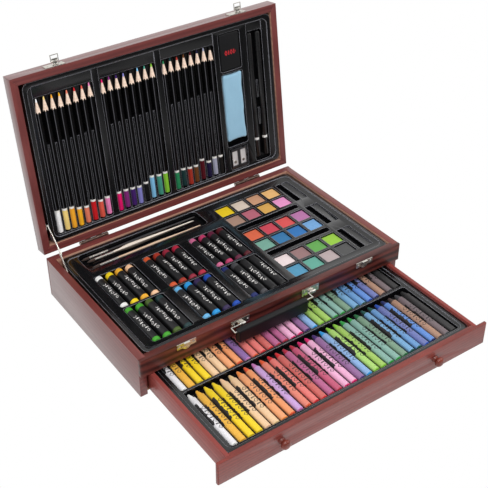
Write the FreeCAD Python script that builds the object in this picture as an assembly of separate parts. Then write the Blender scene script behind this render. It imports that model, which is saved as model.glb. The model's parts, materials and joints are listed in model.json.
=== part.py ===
import FreeCAD, Part
import math
import os
from FreeCAD import Vector

os.makedirs("parts", exist_ok=True)

# Wooden art-set case, in millimetres. The origin is the centre of the case's underside,
# +X to the right, +Y to the back, +Z up. The lid stands open and the drawer is pulled out.

# Pose in which the case stands
lid_open_angle = 98.0
drawer_pull = 154.0

# Boards
wall = 9.5                  # thickness of the case's boards and of the lid's rims
lap = 4.5                   # how much of the front and back boards covers the ends of the sides
ply = 3.0                   # thickness of the case's floor and of the shelf over the drawer
lid_panel_thickness = 4.0
panel_lip = 5.0             # width of the rim left outside the lid's panel
rim_gap = 0.2               # between the case's rim and the closed lid
board_corner = 1.5          # rounding of the upright corners

# Formed plastic trays
tray_wall = 1.0
tray_edge_gap = 1.0
tray_corner = 9.0
tray_border = 5.5           # width of the raised border round each tray
tray_border_rise = 1.0
pocket_corner = 3.0
upper_tray_depth = 18.3
upper_tray_inset = 3.2      # below the case's rim
lid_tray_inset = 3.0        # above the closed lid's rim
stay_slot = 4.5             # free width beside the trays for the folding stay

# Lid contents
pencil_length = 183.0
pencil_flats = 6.6          # across the flats
pencil_cone = 16.5
pencil_lead_radius = 0.7
pencil_pitch = 10.3
pencils_per_group = 8
pencil_pocket_side = 4.5    # from the outer pencils' axes to the pocket's walls
pencil_end_gap = 2.0
pencil_ridge_width = 2.6
pencil_ridge_length = 123.0
finger_well_length = 40.0
finger_well_depth = 9.5
pencil_proud = 0.5          # how far the pencils stand out of the tray
pencil_step_depth = 1.0     # of the shallow step before the pencils' points
pencil_step_margin = 6.5    # from the tray's edge to that step
lid_left_margin = 11.5
lid_right_margin = 13.9
lid_front_margin = 21.0
lid_back_margin = 8.0
pencil_group_gap = 8.9
eraser_size = (30.5, 50.5, 11.5)
sponge_size = (30.5, 98.0, 12.0)
sponge_slack = 6.0          # free length behind the sponge in its pocket
sharpener_size = (26.0, 30.0, 11.0)
sharpener_holes = (4.2, 5.6)
sharpener_hole_offset = 6.8
sharpener_floor = 2.0       # from the sharpener's top face to its blades' seats
sharpener_end_wall = 3.0    # beyond the points of its holes
sharpener_grip_radius = 2.4
sharpener_grip_offset = 0.9     # of the grip grooves' axes outside its sides
blade_half_width = 4.6
blade_thickness = 0.6
blade_end_margin = 4.0
blade_gap = 0.2             # beside the blade in its seat
blade_screw_shift = 5.5     # of the screw from the blade's middle
blade_screw_length = 4.0
block_side_gap = 2.0
block_end_gap = 1.2
block_pocket_gap = 7.7
block_pocket_start = 10.4   # from the tray's front edge
block_rib = 3.0             # between one block's pocket and the next
drawing_pencil_radius = 3.7
drawing_pencil_pitch = 13.5
drawing_pencil_length = 182.0
drawing_pocket_gap = 10.9
drawing_pocket_lead = 3.0   # how much sooner this pocket starts than the others
drawing_ridge = (3.0, 25.0, 1.5)    # width, length, and depth of its top in the pocket
drawing_ridge_starts = (68.0, 108.0)

# Upper tray contents
pastel_radius = 5.6
pastel_length = 69.2
pastel_pitch = 14.5
pastels_per_group = 4
pastel_groups = 3
pastel_proud = 1.4
pastel_side_gap = 0.6
pastel_group_gap = 14.1
pastel_ridge_height = 4.0
pastel_left_margin = 17.8
pastel_front_margin = 12.8
pastel_end_gap = 1.2
pastel_rib = 3.0
foot_width = 4.0            # of the ribs under the pastels' pockets
foot_margins = (30.0, 60.0)     # from the tray's front and back edges to those ribs
cake_size = (21.4, 21.4, 4.0)
cake_pitch = 25.9
cake_columns = 4
cake_rows = 2
cake_sets = 3
cake_side_gap = 0.5
cake_inset = 1.8            # below the tray's top
cake_gap = 12.1             # between the pastels' pocket and the first cake
cake_front_margin = 15.3
cake_set_gap = 18.9
groove_width = 9.0
groove_depth = 8.0
slot_gap = 4.8              # between the cakes and the long slots
slot_width = 9.0
slot_rib = 1.5
slot_depth = 6.5
ledge_width = 10.5
ledge_depth = 2.0
upper_right_margin = 13.5
brush_gap = 17.0            # between the pastels' pocket and the brushes'
brush_pocket_width = 34.5
brush_pocket_length = 182.0
brush_pocket_depth = 8.6
brush_left_margin = 21.0
brush_pocket_corner = 6.0
brush_ridge = (16.0, 2.4, 4.0)      # length, width, height
brush_ridge_places = (0.12, 0.8)    # along the pocket
brush_back_margin = 3.0
bristle_length = 11.0
bristle_tip_radius = 0.5
ferrule_length = 27.0
ferrule_radius = 2.3
brush_end_radius = 1.1
brush_rows = (-8.2, 4.8, 13.3)      # of the brushes' axes, from the pocket's middle
brush_starts = (9.0, 9.0, 5.0)      # of their tips, from the pocket's left end
brush_lengths = (166.0, 163.0, 174.0)
brush_belly_radii = (2.5, 3.8, 2.8)
brush_belly_places = (89.0, 62.0, 93.0)     # of the thickest point, from the tip

# Drawer and its contents
crayon_radius = 4.6
crayon_length = 91.5
crayon_tip = 9.5
crayon_tip_radius = 1.5
crayon_shoulder = 0.8       # step from the wrapper to the bare wax
crayon_pitch = 11.05
crayons_per_row = 30
crayon_side_margin = 10.6   # from the row's last pitch to the drawer's side
crayon_front_margin = 10.7
crayon_back_margin = 8.3
crayon_end_gap = 2.3
crayon_rib = 3.0
crayon_ridge_width = 1.2
crayon_ridge_height = 2.6
crayon_ridge_margin = 14.0  # from the row's ends to the ridges
crayon_inset = 0.4          # below the tray's top
drawer_tray_depth = 19.0
drawer_wall = 5.0
drawer_side_gap = 3.8       # between the drawer's sides and the case's
drawer_side_height = 28.3
drawer_bottom_rise = 1.7    # from the sides' lower edges to the drawer's floor panel
drawer_front_inner = 3.5    # part of the front that lies between the drawer's sides
drawer_front_foot = 0.6
drawer_back_room = 2.0
runner_gap = 0.3            # under the sliding drawer, and behind its closed front
bay_top_gap = 1.4
knob_offset = 112.0
knob_height = 17.0
knob_radius = 6.2
knob_base_radius = 4.4
knob_neck_radius = 3.4
knob_reach = 10.5
knob_neck_length = 3.6
knob_swell = 2.2            # from the neck to the head's full width
knob_crown = 1.8            # rounding of the head's end
knob_crown_radius = 4.6
tenon_radius = 3.0
tenon_length = 6.0
tenon_gap = 0.5             # behind the tenon in its bore

# Hinges, catches and latches
hinge_offset = 123.5
hinge_length = 42.0
hinge_setback = 3.0
hinge_rise = 0.1            # of the axis over the case's rim
knuckle_radius = 2.5
knuckle_gap = 0.3
knuckles = 5
hinge_pin_radius = 1.0
running_gap = 0.05
leaf_height = 15.0
plate = 1.0                 # thickness of all fittings' plates
latch_offset = 133.5
latch_plate_width = 26.0
latch_plate_height = 11.0
latch_plate_rise = 0.8      # of the plate's lower edge over the lid's rim
latch_pivot_rise = 1.9      # of the lever's pivot over the lid's rim
latch_pivot_reach = 2.7     # of the lever's pivot from the lid's face
lever_width = 8.0
lever_length = 7.5
lever_thickness = 0.8
lever_barrel_radius = 1.2
lever_barrel_half = 2.4
trunnion_radius = 0.7
ear_thickness = 1.0
ear_gap = 0.25
loop_pivot = 4.0            # from the lever's pivot to the loop's
loop_length = 8.0
loop_half_width = 5.0
loop_wire_radius = 0.55
catch_width = 26.0
catch_height = 10.3
catch_drop = 0.2            # of the catch's top under the rim
catch_lip_reach = 2.3
catch_lip_thickness = 0.8
catch_lip_width = 8.0       # fits between the loop's wires
catch_mid_width = 12.0
screw_radius = 1.1
screw_clearance = 0.05
screw_length = 7.0
screw_head_radius = 2.0
screw_head_height = 0.7

# Carrying handle
handle_mount_spacing = 105.0
handle_centre = -5.5
handle_plate = (26.0, 10.0)
handle_pivot_drop = 7.5     # under the case's rim
handle_pivot_reach = 4.5
handle_barrel_length = 8.0
handle_barrel_radius = 2.2
wire_radius = 1.0
grip_length = 104.0
grip_height = 19.0
grip_thickness = 9.0
grip_rounding = 3.2
grip_reach = 8.5            # from the rail's face to the grip's back
grip_drop = 4.9             # of the grip's top under the case's rim
grip_shift = -14.5          # of the grip's middle from the mounts' middle
wire_depth = 8.0            # of the wire's end in the grip
wire_cover = 2.2            # of the grip's material over the wire
wire_end = 0.8              # of the wire past its barrel

# Folding stay
stay_case_pivot = (-45.5, -13.1)    # (y, z) from the hinge axis
stay_lid_pivot = (-39.5, 3.4)       # (y, z) from the hinge axis, lid closed
stay_lower_length = 34.4
stay_lower_angle = 52.6             # above the horizontal, lid open
stay_link_half_width = 2.2
stay_link_thickness = 1.0
stay_gap = 0.3
stay_pin_radius = 1.2
stay_bracket_size = 14.0
stay_screw_offset = 5.0             # from the bracket's pin

X_AXIS = Vector(1, 0, 0)
Y_AXIS = Vector(0, 1, 0)
Z_AXIS = Vector(0, 0, 1)

# Lid: the contents set its inner width and depth
pencil_pocket_width = (pencils_per_group - 1) * pencil_pitch + 2 * pencil_pocket_side
block_pocket_width = max(eraser_size[0], sponge_size[0], sharpener_size[0]) + 2 * block_side_gap
drawing_pocket_width = drawing_pencil_pitch + 2 * drawing_pencil_radius + 2 * block_side_gap
lid_need = (lid_left_margin + 3 * pencil_pocket_width + 2 * pencil_group_gap + block_pocket_gap
            + block_pocket_width + drawing_pocket_gap + drawing_pocket_width + lid_right_margin)
pencil_pocket_length = max(pencil_length, drawing_pencil_length) + 2 * pencil_end_gap
block_lengths = [size[1] + 2 * block_end_gap + slack for size, slack in
                 ((eraser_size, 0), (sponge_size, sponge_slack), (sharpener_size, 0))]
block_column = block_pocket_start + sum(block_lengths) + 2 * block_rib
lid_need_depth = max(lid_front_margin + pencil_pocket_length + lid_back_margin,
                     block_column + lid_back_margin)

# Upper tray
pastel_group_width = (pastels_per_group - 1) * pastel_pitch + 2 * (pastel_radius + pastel_side_gap)
pastel_row_length = pastel_length + 2 * pastel_end_gap
cake_set_width = (cake_columns - 1) * cake_pitch + cake_size[0] + 2 * cake_side_gap
cake_set_depth = (cake_rows - 1) * cake_pitch + cake_size[1] + 2 * cake_side_gap
slots_width = slot_width + slot_rib + ledge_width
upper_need = (pastel_left_margin + pastel_groups * pastel_group_width
              + (pastel_groups - 1) * pastel_group_gap + cake_gap + cake_set_width
              + slot_gap + slots_width + upper_right_margin)
upper_need_depth = max(pastel_front_margin + 2 * pastel_row_length + pastel_rib + brush_gap
                       + brush_pocket_width + brush_back_margin,
                       cake_front_margin + cake_sets * cake_set_depth
                       + (cake_sets - 1) * cake_set_gap + brush_back_margin)

# Drawer
crayon_row_width = crayons_per_row * crayon_pitch
crayon_row_length = crayon_length + 2 * crayon_end_gap
drawer_need = crayon_row_width + 2 * (crayon_side_margin + drawer_wall + drawer_side_gap)
drawer_tray_length = (crayon_front_margin - crayon_end_gap + 2 * crayon_row_length + crayon_rib
                      + crayon_back_margin)
drawer_front_depth = lap - runner_gap + drawer_front_inner
drawer_need_depth = (drawer_front_depth + drawer_tray_length + 2 * runner_gap + drawer_wall
                     + drawer_back_room - wall)

# Case
inner_half_x = max(max(lid_need, upper_need) + stay_slot + tray_edge_gap, drawer_need) / 2
inner_half_y = max(max(lid_need_depth, upper_need_depth) + 2 * tray_edge_gap,
                   drawer_need_depth) / 2
half_x = inner_half_x + wall
half_y = inner_half_y + wall
bay_height = ply + runner_gap + drawer_side_height + bay_top_gap
case_height = bay_height + ply + upper_tray_depth + upper_tray_inset
lid_rim_z = case_height + rim_gap
pencil_depth = pencil_flats - pencil_proud
block_pocket_depth = max(eraser_size[2], sponge_size[2], sharpener_size[2]) - pencil_proud
lid_tray_depth = max(block_pocket_depth, finger_well_depth) + tray_wall
lid_lip_z = lid_rim_z + lid_tray_inset
lid_panel_z = lid_lip_z + lid_tray_depth
lid_top_z = lid_panel_z + lid_panel_thickness
hinge_y = half_y + hinge_setback
hinge_z = case_height + hinge_rise
tray_left_x = -inner_half_x + stay_slot
tray_right_x = inner_half_x - tray_edge_gap
tray_half_y = inner_half_y - tray_edge_gap
shelf_top = bay_height + ply
upper_lip_z = shelf_top + upper_tray_depth


def box(x_span, y_span, z_span):
    low = Vector(x_span[0], y_span[0], z_span[0])
    return Part.makeBox(x_span[1] - x_span[0], y_span[1] - y_span[0], z_span[1] - z_span[0], low)


def rounded_box(x_span, y_span, z_span, corner):
    """An upright block with rounded vertical corners."""
    corner = min(corner, 0.45 * (x_span[1] - x_span[0]), 0.45 * (y_span[1] - y_span[0]))
    edges = []
    middles = []
    for x, y, turn in ((x_span[1], y_span[0], -90), (x_span[1], y_span[1], 0),
                       (x_span[0], y_span[1], 90), (x_span[0], y_span[0], 180)):
        centre = Vector(x - corner if x == x_span[1] else x + corner,
                        y - corner if y == y_span[1] else y + corner, z_span[0])
        arc = Part.Arc(*[centre + corner * Vector(math.cos(math.radians(turn + step)),
                                                  math.sin(math.radians(turn + step)), 0)
                         for step in (0, 45, 90)])
        middles.append(arc.toShape())
    for index, arc_edge in enumerate(middles):
        following = middles[(index + 1) % 4]
        edges.append(arc_edge)
        edges.append(Part.makeLine(arc_edge.lastVertex().Point, following.firstVertex().Point))
    face = Part.Face(Part.Wire(edges))
    return face.extrude(Vector(0, 0, z_span[1] - z_span[0]))


def rod(radius, start, end):
    direction = end - start
    return Part.makeCylinder(radius, direction.Length, start, direction)


def cone(radius_start, radius_end, start, end):
    direction = end - start
    return Part.makeCone(radius_start, radius_end, direction.Length, start, direction)


def prism(points, direction):
    """A solid swept from a closed outline of points along a direction."""
    return Part.Face(Part.makePolygon(points + [points[0]])).extrude(direction)


def merged(shapes):
    whole = shapes[0]
    if len(shapes) > 1:
        whole = whole.fuse(shapes[1:])
    return whole.removeSplitter()


def export(name, solids):
    shape = solids[0] if len(solids) == 1 else Part.makeCompound(solids)
    shape.exportStep("parts/" + name + ".step")


def opened(solids):
    """Turns solids of the closed lid about the hinge axis to the standing lid."""
    for solid in solids:
        solid.rotate(Vector(0, hinge_y, hinge_z), X_AXIS, -lid_open_angle)
    return solids


def pulled(solids):
    """Moves solids of the shut drawer out by the drawer's pull."""
    for solid in solids:
        solid.translate(Vector(0, -drawer_pull, 0))
    return solids


def run_of(start, widths_and_gaps):
    """Running positions: the start of each width in a list of (width, gap after it)."""
    places = []
    for width, gap in widths_and_gaps:
        places.append(start)
        start += width + gap
    return places


def inset(span, margin):
    return span[0] + margin, span[1] - margin


def formed_tray(x_span, y_span, base_z, lip_z, pockets, hulls):
    """A thin shell with a raised border, side walls and pockets, open on its base's side."""
    side = 1 if lip_z > base_z else -1
    low, high = sorted((base_z, lip_z))
    body = rounded_box(x_span, y_span, (low, high), tray_corner)
    inner = sorted((base_z, lip_z - side * tray_wall))
    hollow = rounded_box(inset(x_span, tray_wall), inset(y_span, tray_wall), inner,
                         tray_corner - tray_wall)
    border_z = sorted((lip_z - side * tray_wall / 2, lip_z + side * tray_border_rise))
    border = rounded_box(x_span, y_span, border_z, tray_corner)
    within = rounded_box(inset(x_span, tray_border), inset(y_span, tray_border),
                         (border_z[0] - 1, border_z[1] + 1), tray_corner)
    raised = border.cut(within).cut(pockets)
    return merged([body.cut(pockets).cut(hollow.cut(hulls)), raised])


def pocket_and_hull(x_span, y_span, lip_z, depth, side, corner=None):
    """A pocket's space and the same space grown by the tray's wall."""
    corner = pocket_corner if corner is None else corner
    floor_z = lip_z - side * depth
    over_z = lip_z + side * (tray_border_rise + 1)
    pocket = rounded_box(x_span, y_span, sorted((floor_z, over_z)), corner)
    hull = rounded_box(inset(x_span, -tray_wall), inset(y_span, -tray_wall),
                       sorted((floor_z - side * tray_wall, over_z)), corner + tray_wall)
    return pocket, hull


def screw(point, outward):
    """A domed screw: its head stands on the fitting at point, its shank goes the other way."""
    head = cone(screw_head_radius, 0.6 * screw_head_radius, point,
                point + screw_head_height * outward)
    return merged([head, rod(screw_radius, point - screw_length * outward, point)])


def screw_hole(point, outward):
    depth = screw_length + screw_clearance
    return rod(screw_radius + screw_clearance, point - depth * outward, point + outward)


# Fixing points of all fittings, each the top face of its plate and the direction out of it
front = -1 * Y_AXIS
plate_front_y = -half_y - plate
catch_top_z = case_height - catch_drop
catch_screw_x = catch_width / 2 - 3.2
latch_plate_z = (lid_rim_z + latch_plate_rise, lid_rim_z + latch_plate_rise + latch_plate_height)
latch_screw_x = latch_plate_width / 2 - 3.2
handle_pivot_z = case_height - handle_pivot_drop
handle_pivot_y = -half_y - handle_pivot_reach
handle_mount_x = [handle_centre + side * handle_mount_spacing / 2 for side in (-1, 1)]
leaf_back_y = half_y + plate
leaf_screw_x = hinge_length / 2 - 6.0
leaf_screw_z = 0.6 * leaf_height
bracket_face_x = -inner_half_x + plate
case_pivot = Vector(bracket_face_x, hinge_y + stay_case_pivot[0], hinge_z + stay_case_pivot[1])
lid_pivot = Vector(bracket_face_x, hinge_y + stay_lid_pivot[0], hinge_z + stay_lid_pivot[1])

case_screw_points = []
lid_screw_points = []
for side in (-1, 1):
    for offset in (-1, 1):
        catch_x = side * latch_offset + offset * catch_screw_x
        case_screw_points.append((Vector(catch_x, plate_front_y, catch_top_z - 0.4 * catch_height), front))
        latch_x = side * latch_offset + offset * latch_screw_x
        lid_screw_points.append((Vector(latch_x, plate_front_y, sum(latch_plate_z) / 2), front))
        leaf_x = side * hinge_offset + offset * leaf_screw_x
        case_screw_points.append((Vector(leaf_x, leaf_back_y, hinge_z - leaf_screw_z), Y_AXIS))
        lid_screw_points.append((Vector(leaf_x, leaf_back_y, hinge_z + leaf_screw_z), Y_AXIS))
for mount_x in handle_mount_x:
    for offset in (-1, 1):
        screw_x = mount_x + offset * (handle_plate[0] / 2 - 3.0)
        case_screw_points.append((Vector(screw_x, plate_front_y, handle_pivot_z), front))
case_screw_points.append((case_pivot - stay_screw_offset * Z_AXIS, X_AXIS))
lid_screw_points.append((lid_pivot + stay_screw_offset * Z_AXIS, X_AXIS))
case_screw_holes = [screw_hole(*point) for point in case_screw_points]
lid_screw_holes = [screw_hole(*point) for point in lid_screw_points]


# Case: boards
def make_case_boards():
    board_y = half_y - lap
    sides = {}
    for side, name in ((-1, "case_left_side"), (1, "case_right_side")):
        x_span = sorted((side * inner_half_x, side * half_x))
        sides[name] = box(x_span, (-board_y, board_y), (0, case_height)).cut(case_screw_holes)
    outer_x = (-half_x, half_x)
    inner_x = (-inner_half_x, inner_half_x)
    rail_z = (bay_height, case_height)
    rail = rounded_box(outer_x, (-half_y, -board_y), rail_z, board_corner)
    rail = merged([rail, box(outer_x, (-half_y + lap / 2, -board_y), rail_z),
                   box(inner_x, (-board_y, -inner_half_y), rail_z)])
    back_z = (0, case_height)
    back = rounded_box(outer_x, (board_y, half_y), back_z, board_corner)
    back = merged([back, box(outer_x, (board_y, half_y - lap / 2), back_z),
                   box(inner_x, (inner_half_y, board_y), back_z)])
    for name, board in sides.items():
        export(name, [board])
    export("front_rail", [rail.cut(case_screw_holes)])
    export("case_back", [back.cut(case_screw_holes)])
    panel_y = (-inner_half_y, inner_half_y)
    export("case_bottom", [box(inner_x, panel_y, (0, ply))])
    export("case_shelf", [box(inner_x, panel_y, (bay_height, shelf_top))])


# Upper tray, its pastels, paint cakes and brushes
pastel_x = run_of(tray_left_x + pastel_left_margin,
                  [(pastel_group_width, pastel_group_gap)] * pastel_groups)
pastel_y = run_of(-tray_half_y + pastel_front_margin, [(pastel_row_length, pastel_rib)] * 2)
pastel_axis_z = upper_lip_z + pastel_proud - pastel_radius
cake_x = pastel_x[-1] + pastel_group_width + cake_gap
cake_y = run_of(-tray_half_y + cake_front_margin, [(cake_set_depth, cake_set_gap)] * cake_sets)
slot_x = cake_x + cake_set_width + slot_gap
ledge_x = slot_x + slot_width + slot_rib
brush_x = tray_left_x + brush_left_margin
brush_y = pastel_y[1] + pastel_row_length + brush_gap
brush_middle_y = brush_y + brush_pocket_width / 2
brush_floor_z = upper_lip_z - brush_pocket_depth


def cake_centres(set_y):
    return [(cake_x + cake_side_gap + cake_size[0] / 2 + column * cake_pitch,
             set_y + cake_side_gap + cake_size[1] / 2 + row * cake_pitch)
            for row in range(cake_rows) for column in range(cake_columns)]


def make_upper_tray():
    pockets = []
    hulls = []

    def add(x_span, y_span, depth, corner=None):
        pocket, hull = pocket_and_hull(x_span, y_span, upper_lip_z, depth, 1, corner)
        pockets.append(pocket)
        hulls.append(hull)

    pastel_depth = 2 * pastel_radius - pastel_proud
    for group_x in pastel_x:
        for row_y in pastel_y:
            y_span = (row_y, row_y + pastel_row_length)
            add((group_x, group_x + pastel_group_width), y_span, pastel_depth - pastel_ridge_height)
            half_channel = pastel_radius + pastel_side_gap
            for index in range(pastels_per_group):
                middle = group_x + half_channel + index * pastel_pitch
                add((middle - half_channel, middle + half_channel), y_span, pastel_depth)
    cake_depth = cake_inset + cake_size[2]
    half_cake = cake_size[0] / 2 + cake_side_gap
    for set_y in cake_y:
        for x, y in cake_centres(set_y):
            half_y_cake = cake_size[1] / 2 + cake_side_gap
            add((x - half_cake, x + half_cake), (y - half_y_cake, y + half_y_cake), cake_depth, 1.0)
        for x, width, depth in ((slot_x, slot_width, slot_depth), (ledge_x, ledge_width, ledge_depth)):
            add((x, x + width), (set_y, set_y + cake_set_depth), depth, 1.0)
    for set_y in cake_y[1:]:
        middle = set_y - cake_set_gap / 2
        add((cake_x, cake_x + cake_set_width),
            (middle - groove_width / 2, middle + groove_width / 2), groove_depth)
    add((brush_x, brush_x + brush_pocket_length), (brush_y, brush_y + brush_pocket_width),
        brush_pocket_depth, brush_pocket_corner)
    tray = formed_tray((tray_left_x, tray_right_x), (-tray_half_y, tray_half_y),
                       shelf_top, upper_lip_z, pockets, hulls)
    ridges = []
    ridge_length, ridge_width, ridge_height = brush_ridge
    for row, next_row in zip(brush_rows, brush_rows[1:]):
        y = brush_middle_y + (row + next_row) / 2
        for place in brush_ridge_places:
            x = brush_x + place * brush_pocket_length
            ridges.append(box((x - ridge_length / 2, x + ridge_length / 2),
                              (y - ridge_width / 2, y + ridge_width / 2),
                              (brush_floor_z - tray_wall / 2, brush_floor_z + ridge_height)))
    feet = []
    for group_x in pastel_x:
        x = group_x + pastel_group_width / 2
        feet.append(box((x - foot_width / 2, x + foot_width / 2),
                        (-tray_half_y + foot_margins[0], tray_half_y - foot_margins[1]),
                        (shelf_top, upper_lip_z - pastel_depth - tray_wall / 2)))
    export("upper_tray", [merged([tray] + ridges + feet)])


def make_pastels():
    half_channel = pastel_radius + pastel_side_gap
    for row_y, name in zip(pastel_y, ("pastels_front_row", "pastels_back_row")):
        start_y = row_y + pastel_end_gap
        sticks = []
        for group_x in pastel_x:
            for index in range(pastels_per_group):
                start = Vector(group_x + half_channel + index * pastel_pitch, start_y, pastel_axis_z)
                sticks.append(rod(pastel_radius, start, start + pastel_length * Y_AXIS))
        export(name, sticks)


def make_cakes():
    top_z = upper_lip_z - cake_inset
    for set_y, name in zip(cake_y, ("paint_cakes_front", "paint_cakes_middle", "paint_cakes_back")):
        cakes = []
        for x, y in cake_centres(set_y):
            cakes.append(rounded_box((x - cake_size[0] / 2, x + cake_size[0] / 2),
                                     (y - cake_size[1] / 2, y + cake_size[1] / 2),
                                     (top_z - cake_size[2], top_z), 0.8))
        export(name, cakes)


def make_brushes():
    handles = []
    ferrules = []
    bristles = []
    for row, start, length, belly, belly_place in zip(
            brush_rows, brush_starts, brush_lengths, brush_belly_radii, brush_belly_places):
        tip = Vector(brush_x + start, brush_middle_y + row, brush_floor_z + belly)
        neck = tip + bristle_length * X_AXIS
        collar = neck + ferrule_length * X_AXIS
        thick = tip + belly_place * X_AXIS
        end = tip + length * X_AXIS
        bristles.append(cone(bristle_tip_radius, 0.8 * ferrule_radius, tip, neck))
        ferrules.append(cone(0.85 * ferrule_radius, ferrule_radius, neck, collar))
        handles.append(merged([cone(0.9 * ferrule_radius, belly, collar, thick),
                               cone(belly, brush_end_radius, thick, end)]))
    export("brush_handles", handles)
    export("brush_ferrules", ferrules)
    export("brush_bristles", bristles)


# Lid: boards, tray and contents, all worked out for the closed lid
lid_pocket_x = run_of(tray_left_x + lid_left_margin,
                      [(pencil_pocket_width, pencil_group_gap)] * 2
                      + [(pencil_pocket_width, block_pocket_gap),
                         (block_pocket_width, drawing_pocket_gap), (drawing_pocket_width, 0)])
pencil_pocket_y = -tray_half_y + lid_front_margin
pencil_axis_z = lid_lip_z - pencil_proud + pencil_flats / 2
block_x = lid_pocket_x[3] + block_pocket_width / 2
block_y = run_of(-tray_half_y + block_pocket_start,
                 [(length, block_rib) for length in block_lengths])


def make_lid_boards():
    z_span = (lid_rim_z, lid_top_z)
    corners = [(-half_x, -half_y), (half_x, -half_y), (half_x, half_y), (-half_x, half_y)]
    recess = box((-half_x + panel_lip, half_x - panel_lip),
                 (-half_y + panel_lip, half_y - panel_lip), (lid_panel_z, lid_top_z + 1))
    names = ("lid_front_rail", "lid_right_rail", "lid_back_rail", "lid_left_rail")
    for index, name in enumerate(names):
        first = corners[index]
        second = corners[(index + 1) % 4]
        outline = [Vector(x, y, z_span[0]) for x, y in (
            first, second, (second[0] - math.copysign(wall, second[0]),
                            second[1] - math.copysign(wall, second[1])),
            (first[0] - math.copysign(wall, first[0]), first[1] - math.copysign(wall, first[1])))]
        rail = prism(outline, (z_span[1] - z_span[0]) * Z_AXIS).cut(recess).cut(lid_screw_holes)
        export(name, opened([rail]))
    export("lid_panel", opened([box((-half_x + panel_lip, half_x - panel_lip),
                                    (-half_y + panel_lip, half_y - panel_lip),
                                    (lid_panel_z, lid_top_z))]))


def make_lid_tray():
    pockets = []
    hulls = []

    def add(x_span, y_span, depth, corner=None):
        pocket, hull = pocket_and_hull(x_span, y_span, lid_lip_z, depth, -1, corner)
        pockets.append(pocket)
        hulls.append(hull)

    ridges = []
    y_end = pencil_pocket_y + pencil_pocket_length
    step_y = (-tray_half_y + pencil_step_margin, pencil_pocket_y + pocket_corner)
    well_y = y_end - pencil_ridge_length - finger_well_length
    for pocket_x in lid_pocket_x[:3]:
        x_span = (pocket_x, pocket_x + pencil_pocket_width)
        add(x_span, (pencil_pocket_y, y_end), pencil_depth)
        add(x_span, step_y, pencil_step_depth, 1.0)
        add(x_span, (well_y, well_y + finger_well_length), finger_well_depth)
        for index in range(pencils_per_group - 1):
            x = pocket_x + pencil_pocket_side + (index + 0.5) * pencil_pitch
            ridges.append(box((x - pencil_ridge_width / 2, x + pencil_ridge_width / 2),
                              (y_end - pencil_ridge_length, y_end + tray_wall / 2),
                              (pencil_axis_z - 1, lid_lip_z + pencil_depth + tray_wall / 2)))
    sizes = (eraser_size, sponge_size, sharpener_size)
    for size, start_y, length in zip(sizes, block_y, block_lengths):
        half_width = size[0] / 2 + block_side_gap
        add((block_x - half_width, block_x + half_width), (start_y, start_y + length),
            size[2] - pencil_proud)
    drawing_depth = 2 * drawing_pencil_radius - pencil_proud
    drawing_x = (lid_pocket_x[4], lid_pocket_x[4] + drawing_pocket_width)
    drawing_y = pencil_pocket_y - drawing_pocket_lead
    add(drawing_x, (drawing_y, y_end), drawing_depth, drawing_pencil_radius)
    add(drawing_x, (step_y[0], drawing_y + drawing_pencil_radius), pencil_step_depth, 1.0)
    drawing_mid = sum(drawing_x) / 2
    ridge_width, ridge_length, ridge_depth = drawing_ridge
    for ridge_start in drawing_ridge_starts:
        ridge_y = pencil_pocket_y + ridge_start
        ridges.append(box((drawing_mid - ridge_width / 2, drawing_mid + ridge_width / 2),
                          (ridge_y, ridge_y + ridge_length),
                          (lid_lip_z + ridge_depth, lid_lip_z + drawing_depth + tray_wall / 2)))
    tray = formed_tray((tray_left_x, tray_right_x), (-tray_half_y, tray_half_y),
                       lid_panel_z, lid_lip_z, pockets, hulls)
    export("lid_tray", opened([merged([tray] + ridges)]))


def pencil(x):
    tip_y = pencil_pocket_y + pencil_end_gap
    shoulder_y = tip_y + pencil_cone
    corner_radius = pencil_flats / 2 / math.cos(math.radians(30))
    outline = [Vector(x + corner_radius * math.sin(math.radians(60 * turn)), shoulder_y,
                      pencil_axis_z + corner_radius * math.cos(math.radians(60 * turn)))
               for turn in (0.5, 1.5, 2.5, 3.5, 4.5, 5.5)]
    body = prism(outline, (pencil_length - pencil_cone) * Y_AXIS)
    point = cone(pencil_lead_radius, pencil_flats / 2, Vector(x, tip_y, pencil_axis_z),
                 Vector(x, shoulder_y, pencil_axis_z))
    return merged([body, point])


def make_pencils():
    for pocket_x, name in zip(lid_pocket_x, ("pencils_left", "pencils_middle", "pencils_right")):
        group = [pencil(pocket_x + pencil_pocket_side + index * pencil_pitch)
                 for index in range(pencils_per_group)]
        export(name, opened(group))
    middle = lid_pocket_x[4] + drawing_pocket_width / 2
    axis_z = lid_lip_z - pencil_proud + drawing_pencil_radius
    pair = []
    for side in (-1, 1):
        start = Vector(middle + side * drawing_pencil_pitch / 2, pencil_pocket_y - 1, axis_z)
        pair.append(rod(drawing_pencil_radius, start, start + drawing_pencil_length * Y_AXIS))
    export("drawing_pencils", opened(pair))


def block_spans(size, start_y):
    low_z = lid_lip_z - pencil_proud
    return ((block_x - size[0] / 2, block_x + size[0] / 2),
            (start_y + block_end_gap, start_y + block_end_gap + size[1]), (low_z, low_z + size[2]))


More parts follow.
